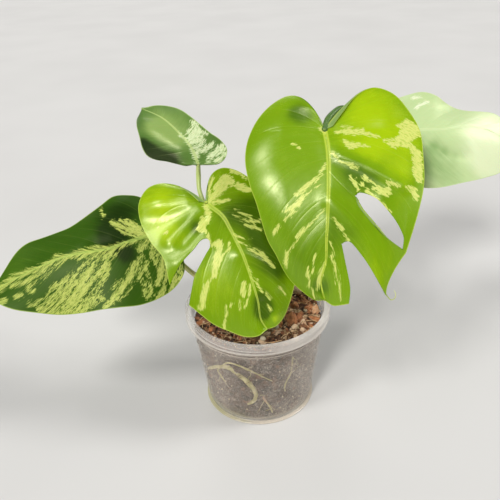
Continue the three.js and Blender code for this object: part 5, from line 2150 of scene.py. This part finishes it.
@dataclass
class Studio:
    """Pale floor, soft lights and the camera at the photograph's place."""

    focal: float = 600.0
    image: float = 500.0
    place: Point = (0.0, -0.381, 0.339)
    pitch: float = 28.83
    yaw: float = -0.63
    roll: float = -2.0
    near_clip: float = 0.01
    far_clip: float = 20.0
    sensor: float = 36.0
    floor_reach: float = 6.0
    surround: Colour = display(226, 228, 232)
    surround_strength: float = 0.22
    # Each light's name, where it comes from, its width in degrees and its strength
    lights: tuple[tuple[str, Point, float, float], ...] = (
        ("key", (-0.34, -0.74, 0.58), 11.0, 2.0),
        ("high", (-0.45, -0.38, 0.81), 14.0, 1.0),
        ("right", (0.70, 0.02, 0.70), 18.0, 1.35),
        ("behind", (-0.2, 0.8, 0.6), 30.0, 0.4),
    )

    def camera(self) -> None:
        """Places the camera."""
        p, y, r = (math.radians(v) for v in (self.pitch, self.yaw, self.roll))
        ahead = Vector((math.sin(y) * math.cos(p), math.cos(y) * math.cos(p), -math.sin(p)))
        level = Vector((math.cos(y), -math.sin(y), 0))
        upright = level.cross(ahead)
        right = math.cos(r) * level + math.sin(r) * upright
        up = -math.sin(r) * level + math.cos(r) * upright
        lens = bpy.data.cameras.new("camera")
        lens.sensor_width = self.sensor
        lens.lens = self.sensor * self.focal / self.image
        lens.clip_start, lens.clip_end = self.near_clip, self.far_clip
        made = hang("camera", lens)
        made.matrix_world = Matrix((
            (right.x, up.x, -ahead.x, self.place[0]), (right.y, up.y, -ahead.y, self.place[1]),
            (right.z, up.z, -ahead.z, self.place[2]), (0, 0, 0, 1)))
        bpy.context.scene.camera = made

    def light(self) -> None:
        """Hangs the soft lights and sets the plain surround."""
        for name, towards, spread, power in self.lights:
            lamp = bpy.data.lights.new(name, "SUN")
            lamp.angle, lamp.energy = math.radians(spread), power
            made = hang(name, lamp)
            made.location = Vector(towards) * 2
            made.rotation_mode = "QUATERNION"
            made.rotation_quaternion = Vector(towards).to_track_quat("Z", "Y")
        world = bpy.data.worlds.new("surround")
        world.use_nodes = True
        ground = next(node for node in world.node_tree.nodes if node.type == "BACKGROUND")
        ground.inputs["Color"].default_value = self.surround
        ground.inputs["Strength"].default_value = self.surround_strength
        bpy.context.scene.world = world
        bpy.context.scene.view_settings.view_transform = "Standard"

    def floor(self) -> None:
        """Lays the floor."""
        bm = bmesh.new()
        bmesh.ops.create_grid(bm, x_segments=4, y_segments=4, size=self.floor_reach)
        mesh = bpy.data.meshes.new("floor")
        bm.to_mesh(mesh)
        bm.free()
        mesh.materials.append(FloorSkin().paint())
        made = hang("floor", mesh)


def main() -> None:
    """Builds the cup, the mix, the roots, the stem, the leaves and the stalks, then the studio."""
    logging.basicConfig(level=logging.INFO, format="%(message)s", stream=sys.stdout)
    cup = Cup()
    pieces = [cup.build(), *PottingMix(cup).build(), *Roots(cup).build(), MainStem().build()]
    leaves = (newest_leaf(), centre_leaf(), left_leaf(), small_leaf(), back_leaf())
    blades = {blade.name: blade for blade in leaves}
    pieces += [blade.build() for blade in leaves]
    pieces += [stalk.build(blades[stalk.name]) for stalk in stalks()]
    pieces.append(Tendril().build(blades["newest"]))
    for piece in pieces:
        triangles = sum(len(polygon.vertices) - 2 for polygon in piece.data.polygons)
        LOG.info("%s: %d triangles", piece.name, triangles)
    studio = Studio()
    studio.camera()
    studio.light()
    studio.floor()


if __name__ == "__main__":
    main()
